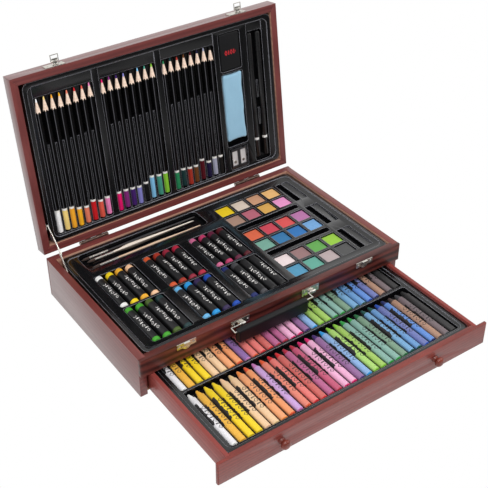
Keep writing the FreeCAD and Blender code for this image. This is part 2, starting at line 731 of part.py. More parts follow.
def make_blocks():
    export("eraser", opened([rounded_box(*block_spans(eraser_size, block_y[0]), 1.5)]))
    export("sponge", opened([rounded_box(*block_spans(sponge_size, block_y[1]), 3.0)]))
    x_span, y_span, z_span = block_spans(sharpener_size, block_y[2])
    body = box(x_span, y_span, z_span)
    blades = []
    screws = []
    floor_z = z_span[0] + sharpener_floor
    blade_y = inset(y_span, blade_end_margin)
    for side, hole in zip((-1, 1), sharpener_holes):
        x = block_x + side * sharpener_hole_offset
        start = Vector(x, y_span[0] - 1, floor_z + 0.55 * hole)
        bore = cone(hole, 0.9, start, start + (sharpener_size[1] - sharpener_end_wall) * Y_AXIS)
        x_blade = (x - blade_half_width, x + blade_half_width)
        seat = box(inset(x_blade, -blade_gap), blade_y, (z_span[0] - 1, floor_z))
        blade = box(x_blade, blade_y, (floor_z - blade_thickness, floor_z))
        hole_point = Vector(x, sum(blade_y) / 2 + blade_screw_shift, floor_z - blade_thickness)
        pin = rod(screw_radius, hole_point, hole_point + blade_screw_length * Z_AXIS)
        head = rod(screw_head_radius, hole_point - screw_head_height * Z_AXIS, hole_point)
        body = body.cut([bore, seat]).cut(pin)
        blades.append(blade.cut(pin))
        screws.append(merged([head, pin]))
    for side in (-1, 1):
        groove_x = block_x + side * (sharpener_size[0] / 2 + sharpener_grip_offset)
        groove_y = sum(y_span) / 2
        body = body.cut(rod(sharpener_grip_radius, Vector(groove_x, groove_y, z_span[0] - 1),
                            Vector(groove_x, groove_y, z_span[1] + 1)))
    export("sharpener", opened([body]))
    export("sharpener_blades", opened(blades))
    export("sharpener_screws", opened(screws))


# Drawer, worked out for the shut drawer
drawer_outer_x = inner_half_x - drawer_side_gap
drawer_inner_x = drawer_outer_x - drawer_wall
drawer_low_z = ply + runner_gap
drawer_top_z = drawer_low_z + drawer_side_height
drawer_floor_z = drawer_low_z + drawer_bottom_rise
drawer_face_y = -half_y + lap - runner_gap
drawer_front_back_y = drawer_face_y + drawer_front_inner
drawer_end_y = inner_half_y - drawer_back_room
drawer_tray_y = (drawer_front_back_y + runner_gap, drawer_end_y - drawer_wall - runner_gap)
drawer_lip_z = drawer_floor_z + ply + drawer_tray_depth
crayon_axis_z = drawer_lip_z - crayon_inset - crayon_radius
crayon_start_x = -crayon_row_width / 2 + crayon_pitch / 2
crayon_y = run_of(drawer_tray_y[0] + crayon_front_margin - crayon_end_gap,
                  [(crayon_row_length, crayon_rib)] * 2)
knob_points = [Vector(side * knob_offset, -half_y, knob_height) for side in (-1, 1)]


def make_drawer():
    face = rounded_box((-half_x, half_x), (-half_y, drawer_face_y),
                       (drawer_front_foot, drawer_top_z), board_corner)
    face = merged([face, box((-half_x, half_x), (-half_y + lap / 2, drawer_face_y),
                             (drawer_front_foot, drawer_top_z)),
                   box((-drawer_inner_x, drawer_inner_x), (drawer_face_y, drawer_front_back_y),
                       (drawer_low_z, drawer_top_z))])
    bores = [rod(tenon_radius + screw_clearance, point - Y_AXIS, point + tenon_length * Y_AXIS)
             for point in knob_points]
    export("drawer_front", pulled([face.cut(bores)]))
    for side, name in ((-1, "drawer_left_side"), (1, "drawer_right_side")):
        x_span = sorted((side * drawer_inner_x, side * drawer_outer_x))
        export(name, pulled([box(x_span, (drawer_face_y, drawer_end_y), (drawer_low_z, drawer_top_z))]))
    inner_x = (-drawer_inner_x, drawer_inner_x)
    export("drawer_back", pulled([box(inner_x, (drawer_end_y - drawer_wall, drawer_end_y),
                                      (drawer_low_z, drawer_top_z))]))
    export("drawer_bottom", pulled([box(inner_x, (drawer_front_back_y, drawer_end_y - drawer_wall),
                                        (drawer_floor_z, drawer_floor_z + ply))]))
    knobs = []
    for point in knob_points:
        neck_end = point - knob_neck_length * Y_AXIS
        wide = neck_end - knob_swell * Y_AXIS
        top = point - knob_reach * Y_AXIS
        crown = top + knob_crown * Y_AXIS
        knobs.append(merged([rod(tenon_radius, point, point + (tenon_length - tenon_gap) * Y_AXIS),
                             cone(knob_base_radius, knob_neck_radius, point, neck_end),
                             cone(knob_neck_radius, knob_radius, neck_end, wide),
                             rod(knob_radius, wide, crown),
                             cone(knob_radius, knob_crown_radius, crown, top)]))
    export("drawer_knobs", pulled(knobs))


def make_drawer_tray():
    depth = 2 * crayon_radius + crayon_inset
    pockets = []
    hulls = []
    ridges = []
    row_x = (-crayon_row_width / 2, crayon_row_width / 2)
    for row_y in crayon_y:
        pocket, hull = pocket_and_hull(row_x, (row_y, row_y + crayon_row_length),
                                       drawer_lip_z, depth, 1)
        pockets.append(pocket)
        hulls.append(hull)
        for index in range(1, crayons_per_row):
            x = row_x[0] + index * crayon_pitch
            floor_z = drawer_lip_z - depth
            ridges.append(box((x - crayon_ridge_width / 2, x + crayon_ridge_width / 2),
                              inset((row_y, row_y + crayon_row_length), crayon_ridge_margin),
                              (floor_z - tray_wall / 2, floor_z + crayon_ridge_height)))
    tray = formed_tray((-drawer_inner_x + runner_gap, drawer_inner_x - runner_gap), drawer_tray_y,
                       drawer_floor_z + ply, drawer_lip_z, pockets, hulls)
    export("drawer_tray", pulled([merged([tray] + ridges)]))


def make_crayons():
    for row_y, name in zip(crayon_y, ("crayons_front_row", "crayons_back_row")):
        start_y = row_y + crayon_end_gap
        row = []
        for index in range(crayons_per_row):
            start = Vector(crayon_start_x + index * crayon_pitch, start_y, crayon_axis_z)
            shoulder = start + (crayon_length - crayon_tip) * Y_AXIS
            row.append(merged([rod(crayon_radius, start, shoulder),
                               cone(crayon_radius - crayon_shoulder, crayon_tip_radius, shoulder,
                                    start + crayon_length * Y_AXIS)]))
        export(name, pulled(row))


# Hinges
def knuckle_ring(x_start, x_end, bore):
    start = Vector(x_start, hinge_y, hinge_z)
    end = Vector(x_end, hinge_y, hinge_z)
    return rod(knuckle_radius, start, end), rod(bore, start - X_AXIS, end + X_AXIS)


def make_hinges():
    case_leaves = []
    lid_leaves = []
    pins = []
    step = hinge_length / knuckles
    for side in (-1, 1):
        left = side * hinge_offset - hinge_length / 2
        for leaves, first, turn, bore in ((case_leaves, 0, -1, hinge_pin_radius),
                                          (lid_leaves, 1, 1, hinge_pin_radius + running_gap)):
            z_span = sorted((hinge_z, hinge_z + turn * leaf_height))
            leaf = box((left, left + hinge_length), (half_y, leaf_back_y), z_span)
            barrels = []
            for index in range(knuckles):
                start = left + index * step
                if index % 2 == first:
                    barrel, hole = knuckle_ring(start + knuckle_gap / 2,
                                                start + step - knuckle_gap / 2, bore)
                    root = box((start + knuckle_gap / 2, start + step - knuckle_gap / 2),
                               (half_y, hinge_y - knuckle_radius / 2),
                               sorted((hinge_z, hinge_z + turn * knuckle_radius / 2)))
                    barrels.extend([barrel, root])
                else:
                    gap_start = Vector(start - knuckle_gap / 2, hinge_y, hinge_z)
                    gap_end = Vector(start + step + knuckle_gap / 2, hinge_y, hinge_z)
                    leaf = leaf.cut(rod(knuckle_radius + hinge_setback / 2, gap_start, gap_end))
            bore_hole = rod(bore, Vector(left - 1, hinge_y, hinge_z),
                            Vector(left + hinge_length + 1, hinge_y, hinge_z))
            holes = case_screw_holes if turn < 0 else lid_screw_holes
            leaves.append(merged([leaf] + barrels).cut(bore_hole).cut(holes))
        pins.append(rod(hinge_pin_radius, Vector(left + 0.2, hinge_y, hinge_z),
                        Vector(left + hinge_length - 0.2, hinge_y, hinge_z)))
    export("hinge_case_leaves", case_leaves)
    export("hinge_lid_leaves", opened(lid_leaves))
    export("hinge_pins", pins)


# Catches on the case, latches on the lid
def make_catches():
    for side, name in ((-1, "catch_left"), (1, "catch_right")):
        x = side * latch_offset
        band = box((x - catch_width / 2, x + catch_width / 2), (plate_front_y, -half_y),
                   (catch_top_z - 0.7 * catch_height, catch_top_z))
        drop_z = catch_top_z - catch_height + catch_mid_width / 2
        drop = rod(catch_mid_width / 2, Vector(x, plate_front_y, drop_z), Vector(x, -half_y, drop_z))
        above = box((x - catch_width, x + catch_width), (plate_front_y - 1, -half_y + 1),
                    (catch_top_z, catch_top_z + catch_mid_width))
        lip = box((x - catch_lip_width / 2, x + catch_lip_width / 2),
                  (plate_front_y - catch_lip_reach, plate_front_y),
                  (catch_top_z - catch_lip_thickness, catch_top_z))
        export(name, [merged([band, drop.cut(above), lip]).cut(case_screw_holes)])


latch_pivot_y = -half_y - latch_pivot_reach
latch_pivot_z = lid_rim_z + latch_pivot_rise


def make_latches():
    for side, name in ((-1, "latch_left"), (1, "latch_right")):
        x = side * latch_offset
        pivot = Vector(x, latch_pivot_y, latch_pivot_z)
        base = box((x - latch_plate_width / 2, x + latch_plate_width / 2),
                   (plate_front_y, -half_y), latch_plate_z)
        ears = []
        pin_hole = rod(trunnion_radius + running_gap, pivot - 9 * X_AXIS, pivot + 9 * X_AXIS)
        for ear_side in (-1, 1):
            near = ear_side * (lever_barrel_half + ear_gap)
            far = near + ear_side * ear_thickness
            x_span = sorted((x + near, x + far))
            ears.append(box(x_span, (latch_pivot_y, -half_y - plate / 2),
                            (latch_pivot_z - lever_barrel_radius, latch_pivot_z + lever_barrel_radius)))
            ears.append(rod(lever_barrel_radius, Vector(x_span[0], latch_pivot_y, latch_pivot_z),
                            Vector(x_span[1], latch_pivot_y, latch_pivot_z)))
        base = merged([base] + ears).cut(pin_hole).cut(lid_screw_holes)
        export(name + "_plate", opened([base]))
        loop_point = pivot - loop_pivot * Y_AXIS
        trunnion_half = lever_barrel_half + ear_gap + ear_thickness
        barrel = rod(lever_barrel_radius, pivot - lever_barrel_half * X_AXIS,
                     pivot + lever_barrel_half * X_AXIS)
        trunnion = rod(trunnion_radius, pivot - trunnion_half * X_AXIS, pivot + trunnion_half * X_AXIS)
        tongue = box((x - lever_barrel_half, x + lever_barrel_half),
                     (latch_pivot_y - lever_length, latch_pivot_y),
                     (latch_pivot_z - lever_thickness / 2, latch_pivot_z + lever_thickness / 2))
        pad = box((x - lever_width / 2, x + lever_width / 2),
                  (latch_pivot_y - lever_length, loop_point.y + lever_barrel_radius + 0.2),
                  (latch_pivot_z - lever_thickness / 2, latch_pivot_z + lever_thickness / 2))
        roll = rod(lever_barrel_radius, loop_point - lever_width / 2 * X_AXIS,
                   loop_point + lever_width / 2 * X_AXIS)
        wire_hole = rod(loop_wire_radius + running_gap, loop_point - lever_width * X_AXIS,
                        loop_point + lever_width * X_AXIS)
        keep = rod(lever_barrel_radius - 0.4, loop_point - 1.2 * X_AXIS, loop_point + 1.2 * X_AXIS)
        lever = merged([merged([barrel, trunnion, tongue, pad, roll]).cut(wire_hole), keep])
        export(name + "_lever", opened([lever]))
        ends = []
        for end_side in (-1, 1):
            hook = loop_point + end_side * 1.6 * X_AXIS
            corner = loop_point + end_side * loop_half_width * X_AXIS
            far_corner = corner - loop_length * Y_AXIS
            ends.extend([rod(loop_wire_radius, hook, corner), rod(loop_wire_radius, corner, far_corner),
                         Part.makeSphere(loop_wire_radius, corner),
                         Part.makeSphere(loop_wire_radius, far_corner)])
        bar = loop_point - loop_length * Y_AXIS
        ends.append(rod(loop_wire_radius, bar - loop_half_width * X_AXIS, bar + loop_half_width * X_AXIS))
        export(name + "_loop", opened([merged(ends)]))


# Carrying handle
grip_x = handle_centre + grip_shift
grip_y = -half_y - grip_reach
grip_z = case_height - grip_drop


def make_handle():
    mounts = []
    wires = []
    grip = box((grip_x - grip_length / 2, grip_x + grip_length / 2),
               (grip_y - grip_thickness, grip_y), (grip_z - grip_height, grip_z))
    grip = grip.makeFillet(grip_rounding, grip.Edges)
    socket_z = grip_z - wire_radius - wire_cover
    for side, mount_x in zip((-1, 1), handle_mount_x):
        base = box((mount_x - handle_plate[0] / 2, mount_x + handle_plate[0] / 2),
                   (plate_front_y, -half_y),
                   (handle_pivot_z - handle_plate[1] / 2, handle_pivot_z + handle_plate[1] / 2))
        half_barrel = handle_barrel_length / 2
        pivot = Vector(mount_x, handle_pivot_y, handle_pivot_z)
        barrel = rod(handle_barrel_radius, pivot - half_barrel * X_AXIS, pivot + half_barrel * X_AXIS)
        root = box((mount_x - half_barrel, mount_x + half_barrel),
                   (handle_pivot_y, -half_y), (handle_pivot_z - 1, handle_pivot_z + 1))
        hole = rod(wire_radius + 2 * running_gap, pivot - 9 * X_AXIS, pivot + 9 * X_AXIS)
        mounts.append(merged([base, root, barrel]).cut(hole).cut(case_screw_holes))
        inner = pivot + (half_barrel + wire_end) * X_AXIS
        grip_end = Vector(grip_x + side * grip_length / 2, grip_y - grip_thickness / 2, socket_z)
        beside_barrel = mount_x - half_barrel - 2 * wire_radius
        beside_grip = grip_end.x + side * 2 * wire_radius
        elbow = Vector(min(beside_barrel, beside_grip) if side < 0 else max(beside_barrel, beside_grip),
                       grip_end.y, socket_z)
        socket = grip_end - side * wire_depth * X_AXIS
        bend = Vector(elbow.x, handle_pivot_y, handle_pivot_z)
        wires.append(merged([rod(wire_radius, inner, bend), Part.makeSphere(wire_radius, bend),
                             rod(wire_radius, bend, elbow), Part.makeSphere(wire_radius, elbow),
                             rod(wire_radius, elbow, socket)]))
        grip = grip.cut(rod(wire_radius + 0.05, grip_end + side * X_AXIS,
                            socket - side * 0.5 * X_AXIS))
    export("handle_mounts", mounts)
    export("handle_grip", [grip])
    export("handle_wires", wires)


# Folding stay between the case's left side and the lid's left rim
def stay_link(start, end, x_low, hole):
    direction = (end - start).normalize()
    across = direction.cross(X_AXIS) * stay_link_half_width
    base = Vector(x_low, 0, 0)
    points = [base + Vector(0, point.y, point.z) for point in
              (start + across, end + across, end - across, start - across)]
    thick = stay_link_thickness * X_AXIS
    ends = [Part.makeCylinder(stay_link_half_width, stay_link_thickness,
                              Vector(x_low, point.y, point.z), X_AXIS) for point in (start, end)]
    pin_hole = Part.makeCylinder(stay_pin_radius + running_gap, 9, Vector(x_low - 3, hole.y, hole.z),
                                 X_AXIS)
    return merged([prism(points, thick)] + ends).cut(pin_hole)


def stay_bracket(pivot, way, pin_end, holes):
    half = stay_bracket_size / 2
    base = box((pivot.x - plate, pivot.x),
               (pivot.y - 2 * stay_link_half_width, pivot.y + 2 * stay_link_half_width),
               sorted((pivot.z - way * stay_link_half_width, pivot.z + way * half)))
    pin = rod(stay_pin_radius, pivot - 0.5 * plate * X_AXIS, Vector(pin_end, pivot.y, pivot.z))
    head = rod(stay_link_half_width, Vector(pin_end, pivot.y, pivot.z),
               Vector(pin_end + 0.4, pivot.y, pivot.z))
    return merged([base, pin, head]).cut(holes)


def make_stay():
    angle = math.radians(stay_lower_angle)
    elbow = case_pivot + stay_lower_length * Vector(0, math.cos(angle), math.sin(angle))
    standing_pivot = opened([Part.Vertex(lid_pivot)])[0].Point
    lower_x = bracket_face_x + stay_gap
    upper_x = lower_x + stay_link_thickness + stay_gap
    upper_end_x = upper_x + stay_link_thickness
    lower = stay_link(case_pivot, elbow, lower_x, case_pivot)
    upper = stay_link(elbow, standing_pivot, upper_x, standing_pivot)
    rivet = Part.makeCylinder(stay_pin_radius, 0.5, Vector(upper_end_x, elbow.y, elbow.z), X_AXIS)
    export("stay_lower_link", [lower])
    export("stay_upper_link", [merged([upper, rivet])])
    export("stay_case_bracket", [stay_bracket(case_pivot, -1,
                                              lower_x + stay_link_thickness + stay_gap / 3,
                                              case_screw_holes)])
    export("stay_lid_bracket", opened([stay_bracket(lid_pivot, 1, upper_end_x + stay_gap / 3,
                                                    lid_screw_holes)]))


def make_screws():
    export("case_screws", [screw(*point) for point in case_screw_points])
    export("lid_screws", opened([screw(*point) for point in lid_screw_points]))


make_case_boards()
make_upper_tray()
make_pastels()
make_cakes()
make_brushes()
make_lid_boards()
make_lid_tray()
make_pencils()
make_blocks()
make_drawer()
make_drawer_tray()
make_crayons()
make_hinges()
make_catches()
make_latches()
make_handle()
make_stay()
make_screws()
print("case", 2 * half_x, 2 * half_y, case_height, "closed height", lid_top_z)
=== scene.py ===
import json
import math
import bmesh
import bpy
from mathutils import Matrix, Vector, noise

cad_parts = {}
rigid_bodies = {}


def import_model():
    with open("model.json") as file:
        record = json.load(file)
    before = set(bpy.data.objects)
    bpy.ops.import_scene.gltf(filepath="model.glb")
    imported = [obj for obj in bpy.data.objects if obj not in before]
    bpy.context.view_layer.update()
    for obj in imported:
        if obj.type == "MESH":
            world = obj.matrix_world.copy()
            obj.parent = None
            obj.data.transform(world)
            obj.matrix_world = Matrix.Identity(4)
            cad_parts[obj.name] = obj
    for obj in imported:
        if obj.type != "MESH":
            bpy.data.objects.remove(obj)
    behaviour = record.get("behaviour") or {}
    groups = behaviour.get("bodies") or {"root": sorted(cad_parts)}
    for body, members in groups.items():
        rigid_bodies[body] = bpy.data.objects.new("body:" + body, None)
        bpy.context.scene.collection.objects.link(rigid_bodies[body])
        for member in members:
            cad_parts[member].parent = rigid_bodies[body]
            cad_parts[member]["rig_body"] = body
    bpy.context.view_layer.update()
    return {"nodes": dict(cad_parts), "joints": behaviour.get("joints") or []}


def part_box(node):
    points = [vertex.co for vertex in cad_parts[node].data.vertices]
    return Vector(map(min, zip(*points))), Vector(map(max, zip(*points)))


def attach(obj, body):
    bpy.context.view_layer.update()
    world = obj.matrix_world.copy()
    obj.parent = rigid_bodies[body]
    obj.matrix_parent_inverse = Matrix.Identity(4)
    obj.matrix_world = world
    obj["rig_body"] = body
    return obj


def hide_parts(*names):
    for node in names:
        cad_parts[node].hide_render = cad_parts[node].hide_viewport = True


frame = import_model()
nodes = frame["nodes"]
mm = 0.001
weld = 0.000002     # points of a CAD mesh closer than this are one

# the lid stands open: its turn about the hinge from shut to standing
lidJoint = next(joint for joint in frame["joints"] if joint["name"] == "lid_hinge")
hingePoint = Vector(lidJoint["pos_m"])
lidAngle = math.radians(lidJoint["range_deg"][1])
lidTurn = (Matrix.Translation(hingePoint) @ Matrix.Rotation(-lidAngle, 4, "X")
           @ Matrix.Translation(-hingePoint))
shutTurn = lidTurn.inverted()

# colours by name, as sRGB hex
colours = {
    "white": "f4f3f0", "sand": "e6c48e", "yellow": "f3d31a", "golden": "f1b133", "orange": "f28b3c",
    "vermilion": "e5582c", "salmon": "ee8468", "coral": "e9604f", "red": "d2232a", "crimson": "b3243f",
    "hotPink": "d91c6b", "orchid": "c878b8", "lilac": "c9a2d9", "violet": "46266f", "navy": "1d2a66",
    "royalBlue": "1d4cb0", "azure": "2b9ade", "skyBlue": "6cb4e2", "darkTeal": "135049",
    "green": "2f9e45", "limeGreen": "8ccc3d", "darkGreen": "1a6a3a", "peach": "f5c79f",
    "brown": "6c4122", "maroon": "55141f", "brick": "a53424", "greyLavender": "a7a9bf",
    "darkGrey": "46464a", "black": "1b1b1c", "pinkCap": "f78cc4", "whiteCap": "ffffff",
    "creamCap": "ffdf88", "amberCap": "ffb233", "goldenCap": "ffbb2c", "pinkRedCap": "ee1c72",
    "plumCap": "86307e", "lilacCap": "8c8ad2", "skyCap": "86c6ee", "tealCap": "4a9c88",
    "forestCap": "2c8a5a", "brickCap": "a8352a", "nightCap": "221d40", "cocoaWax": "4a3a38",
    "whiteWax": "e9e7ea", "goldenWax": "eeb540", "peachWax": "efcaa0", "apricotWax": "f0a572",
    "orangeWax": "f09c66", "salmonWax": "e58470", "coralWax": "e67a74", "dustyRed": "cd6660",
    "mauvePink": "b8628e", "crimsonRose": "c45676", "pinkWax": "eeb0d2", "plumWax": "94699a",
    "violetWax": "8a66a4", "paleBlueWax": "8cb2e0", "leafWax": "aad470", "limeWax": "a0c660",
    "tealWax": "86b0a4", "mossWax": "7a9a82", "skyWax": "74a6cf", "steelWax": "6798cb",
    "violetBlue": "6e78b2", "blueWax": "608dd4", "tanWax": "ad8670", "brownGrey": "74666a",
    "coalWax": "2b2a2b", "leafGreen": "45a32c", "mossGreen": "4a6128", "deepTeal": "1f3a3c",
    "deepViolet": "33254f", "rustRed": "d2572e", "wineRed": "94263a", "roseWax": "cc6a92",
    "deepRose": "bf3c6a", "darkWine": "64203c", "lemonPaint": "eecc11", "shellPaint": "ddccbb",
    "clayPaint": "cc9977", "sandPaint": "eebb77", "taupePaint": "aa8877", "oldRosePaint": "bb6677",
    "ochrePaint": "ddaa55", "pinkPaint": "ee99cc", "sagePaint": "77aa99", "cobaltPaint": "3377aa",
    "bluePaint": "3377bb", "skyPaint": "77aadd", "orangePaint": "dd6644", "carminePaint": "cc4455",
    "coralPaint": "dd5555", "orchidPaint": "bb77aa", "ceruleanPaint": "5599bb", "jadePaint": "66aa99",
    "silverPaint": "bbaaaa", "slatePaint": "555555", "chalkPaint": "eedddd", "umberPaint": "997777",
    "leafPaint": "66aa55", "limePaint": "99cc44",
}


# sRGB hex, or a name from the list, to linear RGBA
def linear(name):
    code = colours.get(name, name)
    channels = [int(code[i:i + 2], 16) / 255 for i in (0, 2, 4)]
    return [c / 12.92 if c <= 0.04045 else ((c + 0.055) / 1.055) ** 2.4 for c in channels] + [1.0]


# shader helpers
def put(tree, kind, inputs=None, **settings):
    node = tree.nodes.new(kind)
    for name, value in settings.items():
        setattr(node, name, value)
    for key, value in (inputs or {}).items():
        socket = node.inputs[key]
        if isinstance(value, bpy.types.NodeSocket):
            tree.links.new(value, socket)
        else:
            socket.default_value = value
    return node


def mathNode(tree, operation, a, b=0.0, c=0.0):
    node = put(tree, "ShaderNodeMath", {0: a, 1: b, 2: c}, operation=operation)
    return node.outputs[0]


def mixColour(tree, factor, a, b, blend="MIX"):
    return put(tree, "ShaderNodeMix", {0: factor, 6: a, 7: b}, data_type="RGBA",
               blend_type=blend).outputs[2]


def between(tree, value, low, high):
    return mathNode(tree, "MULTIPLY", mathNode(tree, "GREATER_THAN", value, low),
                    mathNode(tree, "LESS_THAN", value, high))


def ranged(tree, value, low, high, outLow=0.0, outHigh=1.0):
    node = put(tree, "ShaderNodeMapRange", {0: value, 1: low, 2: high, 3: outLow, 4: outHigh})
    return node.outputs[0]


def shaderGroup(name, inputs, outputs):
    tree = bpy.data.node_groups.new(name, "ShaderNodeTree")
    for socketName, kind, value in inputs:
        socket = tree.interface.new_socket(socketName, in_out="INPUT", socket_type="NodeSocket" + kind)
        if value is not None:
            socket.default_value = value
    for socketName, kind in outputs:
        tree.interface.new_socket(socketName, in_out="OUTPUT", socket_type="NodeSocket" + kind)
    return tree, tree.nodes.new("NodeGroupInput").outputs, tree.nodes.new("NodeGroupOutput").inputs


# a material with its Principled shader; surface sets the shader's own sockets
def newMaterial(name, **surface):
    material = bpy.data.materials.new(name)
    material.use_nodes = True
    tree = material.node_tree
    shader = tree.nodes["Principled BSDF"]
    for key, value in surface.items():
        shader.inputs[key.replace("_", " ")].default_value = value
    return material, tree, shader


def useGroup(tree, group, inputs):
    return put(tree, "ShaderNodeGroup", inputs, node_tree=group).outputs


def bumpInto(tree, shader, height, strength, distance, **others):
    bump = put(tree, "ShaderNodeBump", {"Height": height, "Strength": strength, "Distance": distance,
                                        **others})
    tree.links.new(bump.outputs["Normal"], shader.inputs["Normal"])


# a group's colour, if it has one, its roughness and its height go to the shader
def finishWith(tree, shader, made, strength, distance, **others):
    for output, socket in (("Color", "Base Color"), ("Roughness", "Roughness")):
        if output in made:
            tree.links.new(made[output], shader.inputs[socket])
    bumpInto(tree, shader, made["Height"], strength, distance, **others)


def attributeColour(tree, name):
    return put(tree, "ShaderNodeAttribute", attribute_name=name).outputs["Color"]


def attributeValue(tree, name):
    return put(tree, "ShaderNodeAttribute", attribute_name=name).outputs["Fac"]


# the piece's own UV as two numbers
def uvParts(tree):
    return put(tree, "ShaderNodeSeparateXYZ", {0: put(tree, "ShaderNodeUVMap").outputs[0]}).outputs


# object coordinates in metres, scaled for a pattern
def objectPlace(tree, scale=(1, 1, 1)):
    place = put(tree, "ShaderNodeTexCoord").outputs["Object"]
    return put(tree, "ShaderNodeMapping", {"Vector": place, "Scale": scale}).outputs[0]


# wood: long fibres, dark pores and slow colour drift. Vector is in units of about one growth ring.
def buildGrainGroup():
    tree, given, out = shaderGroup(
        "woodGrain",
        [("Vector", "Vector", None), ("Light", "Color", None), ("Dark", "Color", None),
         ("Figure", "Float", 0.5), ("Pores", "Float", 0.4)],
        [("Color", "Color"), ("Roughness", "Float"), ("Height", "Float")])
    drift = put(tree, "ShaderNodeTexNoise", {"Vector": given["Vector"], "Scale": 0.9, "Detail": 4.0,
                                             "Roughness": 0.6, "Distortion": 0.8}).outputs[0]
    rings = put(tree, "ShaderNodeTexWave", {"Vector": given["Vector"], "Scale": 1.3, "Distortion": 5.0,
                                            "Detail": 3.0, "Detail Scale": 1.2},
                wave_type="BANDS", bands_direction="Z").outputs[1]
    streaks = put(tree, "ShaderNodeTexNoise", {"Vector": given["Vector"], "Scale": 9.0, "Detail": 5.0,
                                               "Roughness": 0.7}).outputs[0]
    figure = mathNode(tree, "MULTIPLY_ADD", rings, 0.35, mathNode(tree, "MULTIPLY", drift, 0.65))
    shade = mathNode(tree, "MULTIPLY", ranged(tree, figure, 0.3, 0.72), given["Figure"])
    base = mixColour(tree, shade, given["Light"], given["Dark"])
    pores = mathNode(tree, "MULTIPLY", ranged(tree, streaks, 0.62, 0.42, 0.0, 1.0), given["Pores"])
    tree.links.new(mixColour(tree, pores, base, given["Dark"]), out["Color"])
    tree.links.new(ranged(tree, streaks, 0.3, 0.7, 0.42, 0.3), out["Roughness"])
    tree.links.new(mathNode(tree, "SUBTRACT", streaks, pores), out["Height"])
    return tree


# fine unevenness for moulded, pressed and painted surfaces
def buildSpeckGroup():
    tree, given, out = shaderGroup(
        "fineSpeck",
        [("Vector", "Vector", None), ("Color", "Color", None), ("Scale", "Float", 400.0),
         ("Amount", "Float", 0.1), ("Rough low", "Float", 0.3), ("Rough high", "Float", 0.5)],
        [("Color", "Color"), ("Roughness", "Float"), ("Height", "Float")])
    fine = put(tree, "ShaderNodeTexNoise", {"Vector": given["Vector"], "Scale": given["Scale"],
                                            "Detail": 4.0, "Roughness": 0.65}).outputs[0]
    broad = put(tree, "ShaderNodeTexNoise", {"Vector": given["Vector"], "Scale": 22.0, "Detail": 3.0,
                                             "Roughness": 0.5}).outputs[0]
    both = mathNode(tree, "MULTIPLY_ADD", fine, 0.6, mathNode(tree, "MULTIPLY", broad, 0.4))
    dark = mixColour(tree, 1.0, given["Color"], (0.45, 0.45, 0.45, 1), "MULTIPLY")
    spread = mathNode(tree, "MULTIPLY", ranged(tree, both, 0.62, 0.35), given["Amount"])
    tree.links.new(mixColour(tree, spread, given["Color"], dark), out["Color"])
    rough = ranged(tree, both, 0.35, 0.65, given["Rough low"], given["Rough high"])
    tree.links.new(rough, out["Roughness"])
    tree.links.new(both, out["Height"])
    return tree


# brushed and handled metal: short fine scratches and smudges
def buildScratchGroup():
    tree, given, out = shaderGroup(
        "handledMetal", [("Vector", "Vector", None), ("Smooth", "Float", 0.12), ("Worn", "Float", 0.32)],
        [("Roughness", "Float"), ("Height", "Float")])
    lines = put(tree, "ShaderNodeTexNoise", {"Vector": given["Vector"], "Scale": 900.0, "Detail": 2.0,
                                             "Distortion": 1.5}).outputs[0]
    smudge = put(tree, "ShaderNodeTexNoise", {"Vector": given["Vector"], "Scale": 120.0,
                                              "Detail": 3.0}).outputs[0]
    both = mathNode(tree, "MULTIPLY", lines, smudge)
    rough = ranged(tree, both, 0.15, 0.4, given["Smooth"], given["Worn"])
    tree.links.new(rough, out["Roughness"])
    tree.links.new(both, out["Height"])
    return tree


grainGroup = buildGrainGroup()
speckGroup = buildSpeckGroup()
scratchGroup = buildScratchGroup()
print("shader groups built")


# wood
woodLooks = {
    "stainedX": {"light": "773936", "dark": "532021", "stretch": (2.6, 42, 42), "figure": 0.6},
    "stainedY": {"light": "7d3c36", "dark": "532021", "stretch": (42, 2.6, 42), "figure": 0.5},
    "stainedZ": {"light": "773936", "dark": "532021", "stretch": (42, 42, 2.6), "figure": 0.5},
    "railX": {"light": "6e332c", "dark": "2c100f", "stretch": (5, 22, 22), "figure": 1.0, "coat": 0.15},
    "frontX": {"light": "8a4039", "dark": "5f2823", "stretch": (9, 60, 60), "figure": 0.6, "coat": 0.12},
    "drawerY": {"light": "9c4a44", "dark": "78332e", "stretch": (42, 2.6, 42), "figure": 0.5, "coat": 0.15},
    "knob": {"light": "8a3c2e", "dark": "5a2119", "stretch": (20, 6, 20), "figure": 0.7},
    "bare": {"light": "c99a84", "dark": "9a6a56", "stretch": (12, 12, 26), "figure": 0.6},
    "ply": {"light": "b58a6c", "dark": "8a5f46", "stretch": (3, 42, 42), "figure": 0.7},
}


# the outer faces carry more lacquer than the rims
for axis, coatIor in (("X", 1.95), ("Y", 1.38), ("Z", 1.5)):
    woodLooks["polished" + axis] = {**woodLooks["stained" + axis], "coat": 1.0, "coatIor": coatIor}
woodLooks["polishedFront"] = {**woodLooks["frontX"], "coat": 0.7}


def woodMaterial(name):
    look = woodLooks[name]
    lacquered = name not in ("bare", "ply")
    material, tree, shader = newMaterial(
        name, Coat_Weight=look.get("coat", 0.5) if lacquered else 0.0, Coat_Roughness=0.32,
        Coat_IOR=look.get("coatIor", 1.5), Specular_IOR_Level=0.25)
    place = objectPlace(tree, look["stretch"])
    made = useGroup(tree, grainGroup, {"Vector": place, "Light": linear(look["light"]),
                                       "Dark": linear(look["dark"]), "Figure": look["figure"],
                                       "Pores": 0.3})
    finishWith(tree, shader, made, 0.25, 0.0002)
    if not lacquered:
        rough = mathNode(tree, "ADD", made["Roughness"], 0.25)
        tree.links.new(rough, shader.inputs["Roughness"])
    return material


wood = {name: woodMaterial(name) for name in woodLooks}


